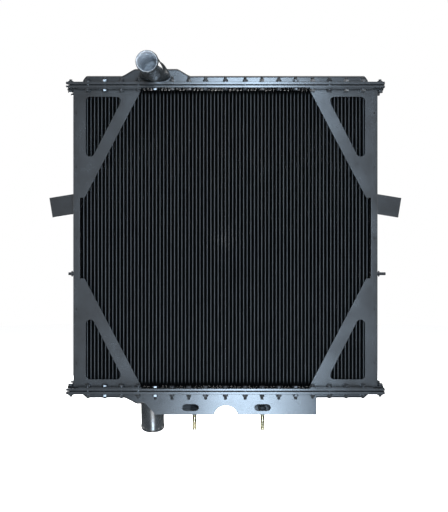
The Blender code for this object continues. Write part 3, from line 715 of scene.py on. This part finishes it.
def make_core():
    """The tubes, and the fins between them in pieces small enough to export."""
    tree = make_even_row_tree()
    outer_x = (TUBE_COUNT - 1) / 2 * TUBE_PITCH
    grow_across(tree, "core_tubes", make_tube_shape(), "core", TUBE_COUNT, -outer_x)
    per_piece = (TUBE_COUNT + 1) // FIN_PIECES
    for number in range(FIN_PIECES):
        first = -outer_x + TUBE_PITCH * (number * per_piece - 0.5)
        grow_across(tree, f"core_fins_{number + 1}", make_fin_shape(), "fin", per_piece, first)


def grow_across(tree, name, shape, kind, count, first_x):
    """Copies of a tube or fin across the core, one tube pitch apart."""
    values = {"Shape": shape, "Count": count, "First Place": (first_x, 0, 0), "Step": (TUBE_PITCH, 0, 0)}
    settle(grow(name, tree, {**values, "Finish": finishes[kind]}), "core", "radiator_core")


# ---------------- bolts


def bolt_places():
    outward = [MIDDLE_BOLT_PITCH + BOLT_PITCH * index for index in range(BOLTS_PER_SIDE // 2)]
    rows = [-x for x in reversed(outward)] + [0.0] + outward
    places = [(x, y) for x in rows for y in (-BOLT_ROW_Y, BOLT_ROW_Y)]
    return places + [(x, y) for x in (-END_BOLT_X, END_BOLT_X) for y in (-END_BOLT_Y, END_BOLT_Y)]


def add_hex(mesh, across, low, high, place=(0, 0, 0), axis="z", chamfer=0.12):
    """A hexagon whose outer end is chamfered. It points from low to high."""
    radius = across / math.sqrt(3)
    rise = high - low
    rings = []
    for size, along in ((radius, low), (radius, low + rise * (1 - chamfer)), (radius * 0.88, high)):
        rings.append([on_axis(axis, u, v, along) + Vector(place) for u, v in circle((0, 0), 2 * size, 6)])
    add_loft(mesh, rings)


def thread_profile(radius, depth, pitch, low, high):
    """Grooves for a short length of thread, from low to high, ending in a chamfer."""
    turns = max(1, round(abs(high - low) / pitch))
    step = (high - low) / turns
    profile = []
    for turn in range(turns):
        profile.append((radius - depth, low + step * turn))
        profile.append((radius, low + step * (turn + 0.5)))
    return profile + [(radius - depth, high)]


def add_flanged_hex(mesh, outward, height):
    """A bolt's head or a nut with a round flange, from its seat at zero."""
    rim = [(BOLT_FLANGE_RADIUS, 0.0004 * outward), (BOLT_FLANGE_RADIUS, 0.0012 * outward)]
    add_turned(mesh, [(BOLT_SEAT_RADIUS, 0)] + rim, 16)
    add_hex(mesh, BOLT_HEX, 0.001 * outward, height * outward)


def make_bolt_shape(end, length):
    """A flanged hex bolt whose head's seat is at zero. It points away from the core."""
    mesh = bmesh.new()
    add_flanged_hex(mesh, -end, BOLT_HEAD_HEIGHT)
    radius = BOLT_DIAMETER / 2
    start = length - BOLT_THREAD_LENGTH
    thread = thread_profile(radius, BOLT_THREAD_DEPTH, BOLT_THREAD_PITCH, start * end, length * end)
    add_turned(mesh, [(radius, 0), (radius, (start - 0.0003) * end)] + thread, 12)
    return new_object("bolt_shape", mesh, ["bolt"], smooth=25)


def make_nut_shape(end):
    mesh = bmesh.new()
    add_flanged_hex(mesh, end, BOLT_NUT_HEIGHT)
    return new_object("nut_shape", mesh, ["bolt"], smooth=25)


def make_end_bolts(end, shape, height, suffix):
    """The two bolts or nuts at each end of a tank, beside the rows."""
    parts = []
    nodes = []
    for x in (-END_BOLT_X, END_BOLT_X):
        for y in (-END_BOLT_Y, END_BOLT_Y):
            copy = shape.copy()
            copy.data = shape.data.copy()
            copy.data.transform(Matrix.Translation((x, y, height)))
            show(copy)
            parts.append(copy)
            row = "front" if y < 0 else "rear"
            nodes.append(f"{END_NAMES[end]}_{SIDE_NAMES[-1 if x < 0 else 1]}_{row}_{suffix}")
    obj = join(parts, f"{END_NAMES[end]}_end_{suffix}s")
    return settle(obj, "bolt", *nodes)


def make_tank_bolts(end, tree):
    """The bolts and nuts along a tank's long sides, and those at its ends."""
    reach = STACK + 2 * GAP + BOLT_NUT_HEIGHT + BOLT_TIP
    common = {
        "Per Side": BOLTS_PER_SIDE,
        "Pitch": BOLT_PITCH,
        "Middle Pitch": MIDDLE_BOLT_PITCH,
        "Row Distance": BOLT_ROW_Y,
        "Clamped From": GUSSET_BOLTS_FROM,
        "Seed": BOLT_TURN_SEED,
        "Finish": finishes["bolt"],
    }
    foot_seat = FOOT_THICKNESS + 2 * GAP
    shape = make_bolt_shape(end, reach + foot_seat - GAP)
    make_end_bolts(end, shape, level(end, -foot_seat), "bolt")
    bpy.data.objects.remove(shape)
    shape = make_bolt_shape(end, reach + ROW_TIP_EXTRA)
    shift = -(GUSSET_FLANGE + GAP) * end
    values = {**common, "Shape": shape, "Height": level(end, -GAP), "Clamped Shift": shift}
    settle(grow(END_NAMES[end] + "_row_bolts", tree, values), "bolt")
    seat = level(end, STACK + GAP)
    shape = make_nut_shape(end)
    make_end_bolts(end, shape, seat, "nut")
    values = {**common, "Shape": shape, "Height": seat, "Clamped Shift": 0.0}
    settle(grow(END_NAMES[end] + "_row_nuts", tree, values), "bolt")


# ---------------- headers and tanks


def bolt_holes():
    return [circle(place, BOLT_DIAMETER + 2 * BOLT_CLEARANCE, 16) for place in bolt_places()]


def flange_outline():
    points = []
    for side_x, side_y, start in ((1, 1, 0), (-1, 1, 1), (-1, -1, 2), (1, -1, 3)):
        centre = (side_x * (flange_high.x - FLANGE_CORNER), side_y * (flange_high.y - FLANGE_CORNER))
        points += arc(centre, FLANGE_CORNER, start * math.pi / 2, (start + 1) * math.pi / 2, 4)
    return points


def rounded_plate(name, holes, low, high, edge):
    """A plate with bolt holes, whose outer edges are rounded."""
    mesh = bmesh.new()
    add_plate(mesh, flange_outline(), holes, low, high)
    rim_x, rim_y = flange_high.x - FLANGE_RIM, flange_high.y - FLANGE_RIM
    rim = []
    for item in mesh.edges:
        outside = all(abs(v.co.y) > rim_y or abs(v.co.x) > rim_x for v in item.verts)
        if outside and item.calc_face_angle(0) > math.radians(60):
            rim.append(item)
    settings = {"offset_type": "OFFSET", "profile": 0.5, "affect": "EDGES"}
    bmesh.ops.bevel(mesh, geom=rim, offset=edge, segments=3, **settings)
    return keep_flats(new_object(name, mesh, ["paint"], smooth=35))


def make_header(end):
    """The slotted plate that the tubes pass into."""
    name = END_NAMES[end] + "_header"
    slots = []
    for index in range(TUBE_COUNT):
        x = (index - (TUBE_COUNT - 1) / 2) * TUBE_PITCH
        outline = flat_tube_outline(core_high.y - TUBE_WALL, TUBE_WIDTH / 2 - TUBE_WALL, 3)
        slots.append([(x + u, v) for u, v in outline])
    low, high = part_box(name)[0].z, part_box(name)[1].z
    plate = rounded_plate(name + "_plate", bolt_holes() + slots, low, high, 0.0008)
    settle(plate, "paint", name)


def tank_profile(end, steps):
    """The tank's height along its length, as (x, height), with eased slopes and round shoulders."""
    low, at_end, high, middle, half_length, slope = TANK_SHAPES[end]
    end_x = flange_high.x - TANK_END_INSET
    ramps = [
        (-end_x, at_end, -end_x + TANK_END_SLOPE, low, "shoulder"),
        (middle - half_length - slope, low, middle - half_length, high, "ease"),
        (middle + half_length, high, middle + half_length + slope, low, "ease"),
        (end_x - TANK_END_SLOPE, low, end_x, at_end, "drop"),
    ]
    points = []
    for x0, h0, x1, h1, kind in ramps:
        for step in range(steps + 1):
            share = step / steps
            points.append((x0 + (x1 - x0) * share, h0 + (h1 - h0) * eased(share, kind)))
    return points


def eased(share, kind):
    if kind == "shoulder":
        return math.sin(share * math.pi / 2)
    if kind == "drop":
        return 1 - math.cos(share * math.pi / 2)
    return 0.7 * share + 0.3 * share * share * (3 - 2 * share)


def tank_section(end, x, half_depth, corner, base, height, fillet, steps=6):
    """One cross-section of a tank, with a fillet at its foot and rounded outer corners."""
    corner = min(corner, height * 0.6)
    right = []
    if fillet:
        foot = arc((half_depth + fillet, fillet), fillet, -math.pi / 2, -math.pi, 4)
        right += [(half_depth + fillet, base)] + foot
    else:
        right += [(half_depth, base)]
    right += arc((half_depth - corner, height - corner), corner, 0, math.pi / 2, steps)
    left = [(-y, rise) for y, rise in reversed(right)]
    return [Vector((x, y, level(end, STACK + rise))) for y, rise in right + left]


def tank_solid(end, wall, sink, fillet):
    """A solid of the tank's outline less a wall, which reaches this far below the flange's face."""
    end_x = flange_high.x - TANK_END_INSET - wall
    sections = []
    for x, height in tank_profile(end, TANK_STEPS):
        x = max(-end_x, min(end_x, x))
        if sections and abs(sections[-1][0].x - x) < 1e-6:
            continue
        half_depth, corner = TANK_HALF_DEPTH - wall, TANK_CORNER - wall
        sections.append(tank_section(end, x, half_depth, corner, -sink, height - wall, fillet))
    mesh = bmesh.new()
    add_loft(mesh, sections)
    return mesh


def make_tank_shell(end):
    """The pressed shell, hollow, with its port cut through."""
    name = END_NAMES[end] + "_tank"
    outside = tank_solid(end, 0, SHELL_SINK, TANK_FILLET)
    shell = new_object(name + "_shell", outside, ["paint"], smooth=50)
    inside = tank_solid(end, TANK_WALL, CAVITY_SINK, 0)
    cut(shell, new_object(name + "_cavity", inside, ["bare"]))
    inset = NECK_WALL + PORT_INSET
    if end == TOP:
        rings = [inlet_ring(0, along, inset) for along in (-0.006, 0.003)]
    else:
        rings = [outlet_ring(OUTLET_DIAMETER / 2 - inset, along, flush=True) for along in (-0.008, 0.006)]
    port = bmesh.new()
    add_loft(port, rings)
    cut(shell, new_object(name + "_port", port, ["bare"]))
    return keep_flats(shell)


def make_tank(end):
    name = END_NAMES[end] + "_tank"
    faces = sorted((level(end, FLANGE_FACE), level(end, STACK)))
    end_x = flange_high.x - TANK_END_INSET - TANK_WALL
    mouth_y = TANK_HALF_DEPTH - TANK_WALL
    mouth = rectangle(-end_x, end_x, -mouth_y, mouth_y)
    flange = rounded_plate(name + "_flange", bolt_holes() + [mouth], *faces, 0.001)
    settle(join([make_tank_shell(end), flange], name + "_body"), "paint", name)


# ---------------- hose necks


def bead_profile(radius, length, root, steps=8):
    """(radius, distance) along a neck from its root to its end, with a rounded hose bead."""
    start = length - BEAD_FROM_END - BEAD_WIDTH
    points = [(radius, root)]
    for step in range(steps + 1):
        share = step / steps
        points.append((radius + BEAD_HEIGHT * math.sin(share * math.pi) ** 1.2, start + BEAD_WIDTH * share))
    return points + [(radius, length - NECK_LIP), (radius - NECK_LIP, length)]


def inlet_ring(share, along, inset, radius=None):
    """A ring of the inlet neck: flat and wide at its root, round from the end of the flare."""
    length = INLET_LENGTH
    mouth = INLET_DIAMETER / 2
    roundness = share * share * (3 - 2 * share)
    half_width = INLET_ROOT_WIDTH / 2 + (mouth - INLET_ROOT_WIDTH / 2) * roundness
    risen = min(1, share / INLET_FULL_HEIGHT_AT)
    half_height = INLET_ROOT_HEIGHT / 2 + (mouth - INLET_ROOT_HEIGHT / 2) * risen
    sink = 0
    if radius is not None:
        half_width = half_height = radius
        sink = INLET_MOUTH_DROP * (along - INLET_FLARE_LENGTH) / (length - INLET_FLARE_LENGTH)
    middle = mouth if radius is not None else half_height
    centre_z = level(TOP, STACK) + INLET_SEAT + middle - sink
    x = INLET_ROOT_X + INLET_DRIFT * along / length
    y = -TANK_HALF_DEPTH - GAP - along
    points = circle((0, 0), 2, NECK_SIDES)
    half_width -= inset
    half_height -= inset
    return [Vector((x + half_width * u, y, centre_z + half_height * v)) for u, v in points]


def make_inlet():
    """The inlet neck, painted outside, with a bare bore and mouth."""
    shares = [step / INLET_FLARE_STEPS for step in range(INLET_FLARE_STEPS + 1)]
    flare = [(share, INLET_FLARE_LENGTH * share) for share in shares]
    outside = [inlet_ring(share, along, 0) for share, along in flare]
    tail = bead_profile(INLET_DIAMETER / 2, INLET_LENGTH, INLET_FLARE_LENGTH)[1:]
    outside += [inlet_ring(1, along, 0, radius) for radius, along in tail]
    bore = INLET_DIAMETER / 2 - NECK_WALL
    inside = [inlet_ring(1, INLET_LENGTH, 0, bore + NECK_LIP)]
    inside += [inlet_ring(1, INLET_LENGTH - depth, 0, bore) for depth in (NECK_LIP, *INLET_BORE_DEPTHS)]
    inside += [inlet_ring(share, along, NECK_WALL) for share, along in reversed(flare)]
    mesh = bmesh.new()
    add_loft(mesh, outside + inside, closed=True)
    mesh.faces.ensure_lookup_table()
    painted = len(outside) * NECK_SIDES  # the mouth's face is painted too
    for index, face in enumerate(mesh.faces):
        face.material_index = 0 if index < painted else 1
    obj = new_object("inlet_neck_casting", mesh, ["cast", "bare"], smooth=40)
    settle(obj, "cast", "inlet_neck")


def outlet_ring(radius, along, flush=False):
    """A ring square to the tilted outlet, or cut level so that it lies against the sump."""
    sump = TANK_SHAPES[BOTTOM][2]
    root = Vector((*OUTLET_ROOT, level(BOTTOM, STACK + sump) - GAP))
    axis = Vector((0, math.sin(OUTLET_TILT), -math.cos(OUTLET_TILT)))
    side = Vector((0, math.cos(OUTLET_TILT), math.sin(OUTLET_TILT)))
    points = []
    for u, v in circle((0, 0), 2 * radius, NECK_SIDES):
        extra = v * math.tan(OUTLET_TILT) if flush else 0
        points.append(root + Vector((u, 0, 0)) + side * v + axis * (along + extra))
    return points


def make_outlet():
    radius = OUTLET_DIAMETER / 2
    tail = bead_profile(radius, OUTLET_LENGTH, OUTLET_STRAIGHT_FROM)
    outside = [outlet_ring(radius, 0, flush=True)] + [outlet_ring(size, along) for size, along in tail]
    bore = radius - NECK_WALL
    inside = [outlet_ring(bore + NECK_LIP, OUTLET_LENGTH), outlet_ring(bore, OUTLET_LENGTH - NECK_LIP)]
    inside.append(outlet_ring(bore, 0, flush=True))
    mesh = bmesh.new()
    add_loft(mesh, outside + inside, closed=True)
    obj = new_object("outlet_neck_tube", mesh, ["cast"], smooth=40)
    settle(obj, "cast", "outlet_neck")


# ---------------- sheet metal


def make_sheet_metal():
    """The pressed parts. The channel keeps sharp edges round its slots and notch."""
    for side in SIDE_NAMES.values():
        soften(side + "_side_column", edge=0.0012)
        soften(side + "_side_bracket", edge=0.0009)
        for end in END_NAMES.values():
            soften(f"{end}_{side}_gusset", edge=0.0008)
            soften(f"{end}_{side}_foot", edge=0.0006)
    soften("lower_mount_bracket", edge=0.0024, shortest=0.060)


def make_side_pin(side):
    name = side + "_side_pin"
    low, high, middle = box_and_middle(name)
    centre = (0, middle.y, middle.z)
    inner, outer = (high.x, low.x) if side == "left" else (low.x, high.x)
    outward = math.copysign(1, outer - inner)
    collar = (high.z - low.z) / 2
    start = abs(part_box(side + "_side_column")[0 if side == "left" else 1].x) + GAP
    stop = start + COLLAR_THICKNESS
    profile = [
        (PIN_RADIUS, abs(inner)),
        (PIN_RADIUS, start),
        (collar - COLLAR_EDGE, start),
        (collar, start + COLLAR_EDGE),
        (collar, stop - COLLAR_EDGE),
        (collar - COLLAR_EDGE, stop),
        (PIN_RADIUS, stop),
        (PIN_RADIUS, abs(outer) - PIN_TIP_EDGE),
        (PIN_RADIUS - PIN_TIP_EDGE, abs(outer)),
    ]
    mesh = bmesh.new()
    add_turned(mesh, [(r, x * outward) for r, x in profile], 32, centre, "x")
    settle(new_object(name + "_turned", mesh, ["paint"], smooth=30), "paint", name)


def make_bracket_fasteners():
    """The bolts through the side brackets, with their nuts."""
    for side in SIDE_NAMES.values():
        for place in ("lower", "upper"):
            name = f"{side}_bracket_{place}_bolt"
            low, high, middle = box_and_middle(name)
            centre = (middle.x, 0, middle.z)
            radius = BRACKET_BOLT_RADIUS
            seat = high.y - BRACKET_BOLT_HEAD
            start = low.y + BRACKET_THREAD_LENGTH
            mesh = bmesh.new()
            add_hex(mesh, BRACKET_BOLT_HEX, seat, high.y, centre, "y")
            thread = thread_profile(radius, BRACKET_THREAD_DEPTH, BRACKET_THREAD_PITCH, start, low.y)
            add_turned(mesh, [(radius, seat), (radius, start + 0.0002)] + thread, 16, centre, "y")
            settle(new_object(name + "_hex", mesh, ["bolt"], smooth=25), "bolt", name)
            nut = f"{side}_bracket_{place}_nut"
            nut_low, nut_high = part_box(nut)
            mesh = bmesh.new()
            add_hex(mesh, BRACKET_BOLT_HEX, nut_high.y, nut_low.y, centre, "y")
            settle(new_object(nut + "_hex", mesh, ["bolt"], smooth=25), "bolt", nut)


# ---------------- studs and drain cock


def add_thread(mesh, centre, radius, low, high, sides=28):
    """A threaded rod: its radius follows a helix of even pitch, and its lower end is chamfered."""
    rings = []
    steps = int((high - low) / STUD_PITCH * STUD_RINGS_PER_TURN)
    for step in range(steps + 1):
        height = low + (high - low) * step / steps
        chamfer = max(0, STUD_THREAD_DEPTH * 1.6 - (height - low))
        ring = []
        for index in range(sides):
            turn = index / sides
            phase = (height / STUD_PITCH - turn) % 1
            groove = STUD_THREAD_DEPTH * abs(2 * phase - 1)
            size = radius - max(groove, chamfer)
            angle = math.tau * turn
            x = centre[0] + size * math.cos(angle)
            y = centre[1] + size * math.sin(angle)
            ring.append(Vector((x, y, height)))
        rings.append(ring)
    add_loft(mesh, rings)


def make_stud(side):
    """A stud whose head sits in the channel, painted with it. Its shank and thread stay zinc plated."""
    name = side + "_mount_stud"
    low, high, middle = box_and_middle(name)
    centre = (middle.x, middle.y)
    seat = high.z - STUD_HEAD_HEIGHT
    radius = STUD_DIAMETER / 2
    mesh = bmesh.new()
    add_hex(mesh, STUD_HEX, seat, high.z, (*centre, 0))
    for face in mesh.faces:
        face.material_index = 1
    root = radius - STUD_THREAD_DEPTH
    shank = [(radius, seat), (radius, STUD_SHANK_END), (root, STUD_THREAD_TOP)]
    add_turned(mesh, shank, 32, (*centre, 0))
    add_thread(mesh, centre, radius, low.z, STUD_THREAD_TOP)
    settle(new_object(name + "_threaded", mesh, ["zinc", "paint"], smooth=30), "zinc", name)


def make_stud_washer(side):
    name = side + "_stud_washer"
    low, high, middle = box_and_middle(name)
    centre = (middle.x, middle.y)
    radius = (high.x - low.x) / 2
    bore = STUD_DIAMETER / 2 + WASHER_CLEARANCE
    edge = WASHER_EDGE
    profile = [(bore, low.z), (radius - edge, low.z), (radius, low.z + edge)]
    profile += [(radius, high.z - edge), (radius - edge, high.z), (bore, high.z)]
    rings = [[Vector((x, y, z)) for x, y in circle(centre, 2 * size, 40)] for size, z in profile]
    mesh = bmesh.new()
    add_loft(mesh, rings, closed=True)
    settle(new_object(name + "_ring", mesh, ["paint"], smooth=30), "paint", name)


def make_drain_cock():
    """The brass body: a spigot through the sump's wall, a boss, a hexagon and an open barrel."""
    low, high, middle = box_and_middle("drain_cock_body")
    centre = (middle.x, 0, middle.z)
    wall = TANK_HALF_DEPTH + GAP
    boss = (high.x - low.x) / 2
    boss_end = wall + COCK_BOSS_THICKNESS
    waist_end = wall + COCK_WAIST_END
    end = high.y
    profile = [
        (COCK_SPIGOT_RADIUS, low.y),
        (COCK_SPIGOT_RADIUS, wall),
        (boss - 0.0006, wall),
        (boss, wall + 0.0006),
        (boss, boss_end - 0.0008),
        (boss - 0.0008, boss_end),
        (COCK_WAIST_RADIUS, boss_end),
        (COCK_WAIST_RADIUS, waist_end),
        (COCK_BARREL_RADIUS, waist_end + 0.001),
        (COCK_BARREL_RADIUS, end - 0.001),
        (COCK_BARREL_RADIUS - 0.001, end),
        (COCK_BORE_RADIUS + 0.0002, end),
        (COCK_BORE_RADIUS, end - 0.001),
        (COCK_BORE_RADIUS, end - COCK_BORE_DEPTH),
    ]
    mesh = bmesh.new()
    add_turned(mesh, profile, 40, centre, "y")
    hex_low, hex_high = (wall + along for along in COCK_HEX_SPAN)
    add_hex(mesh, COCK_HEX, hex_low, hex_high, centre, "y", chamfer=0.1)
    settle(new_object("drain_cock_casting", mesh, ["brass"], smooth=30), "brass", "drain_cock_body")


def make_drain_key():
    """The key: a stem and two rounded wings that swell towards their tips."""
    low, high, middle = box_and_middle("drain_cock_key")
    centre = (middle.x, 0, middle.z)
    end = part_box("drain_cock_body")[1].y
    half_length = (high.x - low.x) / 2
    mesh = bmesh.new()
    stem, hub, wings_from = KEY_STEM_RADIUS, KEY_HUB_RADIUS, end + KEY_CLEARANCE
    profile = [(stem - 0.0003, low.y), (stem, low.y + 0.0005), (stem, wings_from + 0.0005)]
    add_turned(mesh, profile, 24, centre, "y")
    thickness = high.y - wings_from
    middle_y = high.y - thickness / 2
    rings = []
    for step in range(KEY_STEPS + 1):
        share = -1 + 2 * step / KEY_STEPS
        x = middle.x + share * half_length
        out = abs(share)
        swell = 0.62 + 0.38 * out ** 1.5
        tip = math.sqrt(max(0.02, 1 - max(0, (out - KEY_TIP_FROM) / (1 - KEY_TIP_FROM)) ** 2))
        half_height = KEY_HALF_HEIGHT * swell * tip
        half_thick = thickness / 2 * (1 - 0.25 * out) * (0.5 + 0.5 * tip)
        ring = []
        for u, v in circle((0, 0), 2, 20):
            y = middle_y + half_thick * math.copysign(abs(u) ** 0.7, u)
            z = middle.z + half_height * math.copysign(abs(v) ** 0.7, v)
            ring.append(Vector((x, y, z)))
        rings.append(ring)
    add_loft(mesh, rings)
    profile = [(hub, wings_from), (hub, high.y - 0.0012), (hub - 0.0008, high.y - 0.0002)]
    add_turned(mesh, profile, 24, centre, "y")
    obj = new_object("drain_cock_wing_key", mesh, ["brass"], smooth=50)
    settle(obj, "brass", "drain_cock_key", body="drain_key")


# ---------------- studio


def make_camera():
    data = bpy.data.cameras.new("camera")
    data.lens = 59.2
    data.sensor_width = 36
    data.shift_y = -0.035
    camera = bpy.data.objects.new("camera", data)
    camera.location = (-0.0043, -CAMERA_DISTANCE, MIDDLE_Z)
    camera.rotation_euler = (math.pi / 2, 0, 0)
    show(camera)
    bpy.context.scene.camera = camera


def add_softbox(name, place, target, size, power, colour=(1, 1, 1)):
    data = bpy.data.lights.new(name, "AREA")
    data.shape = "RECTANGLE"
    data.size, data.size_y = size
    data.energy = power
    data.color = colour
    light = bpy.data.objects.new(name, data)
    light.location = place
    light.rotation_euler = (Vector(target) - Vector(place)).to_track_quat("-Z", "Y").to_euler()
    light.visible_camera = False
    show(light)


def make_lights():
    middle = (0, 0, MIDDLE_Z)
    add_softbox("key", (0.14, -2.95, 0.30), (0.10, 0, 0.30), (0.50, 3.2), 180, (0.62, 0.80, 1.0))
    add_softbox("room", (0.0, -3.3, 0.6), middle, (3.6, 2.6), 22, (0.99, 0.98, 0.97))
    add_softbox("right", (2.6, -1.6, 0.9), middle, (0.9, 2.0), 26, (0.94, 0.97, 1.0))
    add_softbox("fill", (-2.6, -1.6, 1.1), middle, (0.9, 2.0), 14, (1.0, 0.97, 0.94))
    add_softbox("bounce", (-0.17, -0.50, -0.41), (-0.22, 0, 0.0), (0.34, 0.55), 2.6, (1.0, 0.98, 0.95))
    add_softbox("overhead", (0.2, -0.5, 2.9), middle, (2.2, 1.2), 34)
    add_softbox("rear", (-0.4, 3.3, 0.7), middle, (2.2, 2.2), 80)
    add_softbox("rear_left", (-3.2, 0.7, 0.9), middle, (1.6, 2.2), 42)
    add_softbox("rear_right", (3.2, 0.7, 0.9), middle, (1.6, 2.2), 42)


def make_world():
    """White where the camera looks past the object, and a dim soft room for everything else."""
    world = bpy.data.worlds.new("studio")
    world.use_nodes = True
    tree = world.node_tree
    tree.nodes.clear()
    start = Wire(tree)
    white = start.node("ShaderNodeBackground", None, {"Color": (1, 1, 1, 1), "Strength": 1.0})
    room = start.node("ShaderNodeBackground", None, {"Color": (0.90, 0.95, 1, 1), "Strength": 0.035})
    seen = start.node("ShaderNodeLightPath").other("Is Camera Ray")
    mixed = start.node("ShaderNodeMixShader", None, {0: seen, 1: room, 2: white})
    out = tree.nodes.new("ShaderNodeOutputWorld")
    tree.links.new(mixed.socket, out.inputs["Surface"])
    bpy.context.scene.world = world


def make_floor():
    """A pale disc well below the studs. It lights the underside and doesn't show in the gloss."""
    mesh = bmesh.new()
    bmesh.ops.create_circle(mesh, cap_ends=True, segments=64, radius=FLOOR_RADIUS)
    bmesh.ops.translate(mesh, vec=(0, 0, FLOOR_HEIGHT), verts=mesh.verts)
    data = bpy.data.meshes.new("floor")
    mesh.to_mesh(data)
    mesh.free()
    material = bpy.data.materials.new("pale_floor")
    material.use_nodes = True
    shader = material.node_tree.nodes["Principled BSDF"]
    shader.inputs["Base Color"].default_value = (0.9, 0.9, 0.9, 1)
    shader.inputs["Roughness"].default_value = 0.9
    shader.inputs["Emission Color"].default_value = (1, 1, 1, 1)
    shader.inputs["Emission Strength"].default_value = 0.93
    data.materials.append(material)
    floor = bpy.data.objects.new("floor", data)
    show(floor)
    floor.visible_glossy = False
    floor.visible_shadow = False


def finish_cad_nodes():
    """Gives the CAD nodes that stay in view their finish."""
    for name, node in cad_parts.items():
        node.data.materials.clear()
        node.data.materials.append(finishes["gasket" if "gasket" in name else "paint"])


def main():
    finish_cad_nodes()
    make_core()
    bolt_tree = make_bolt_rows_tree()
    for end in (TOP, BOTTOM):
        make_header(end)
        make_tank(end)
        make_tank_bolts(end, bolt_tree)
    make_inlet()
    make_outlet()
    make_sheet_metal()
    make_bracket_fasteners()
    for side in SIDE_NAMES.values():
        make_side_pin(side)
        make_stud(side)
        make_stud_washer(side)
    make_drain_cock()
    make_drain_key()
    make_camera()
    make_lights()
    make_world()
    make_floor()
    bpy.context.scene.view_settings.view_transform = "Standard"


main()
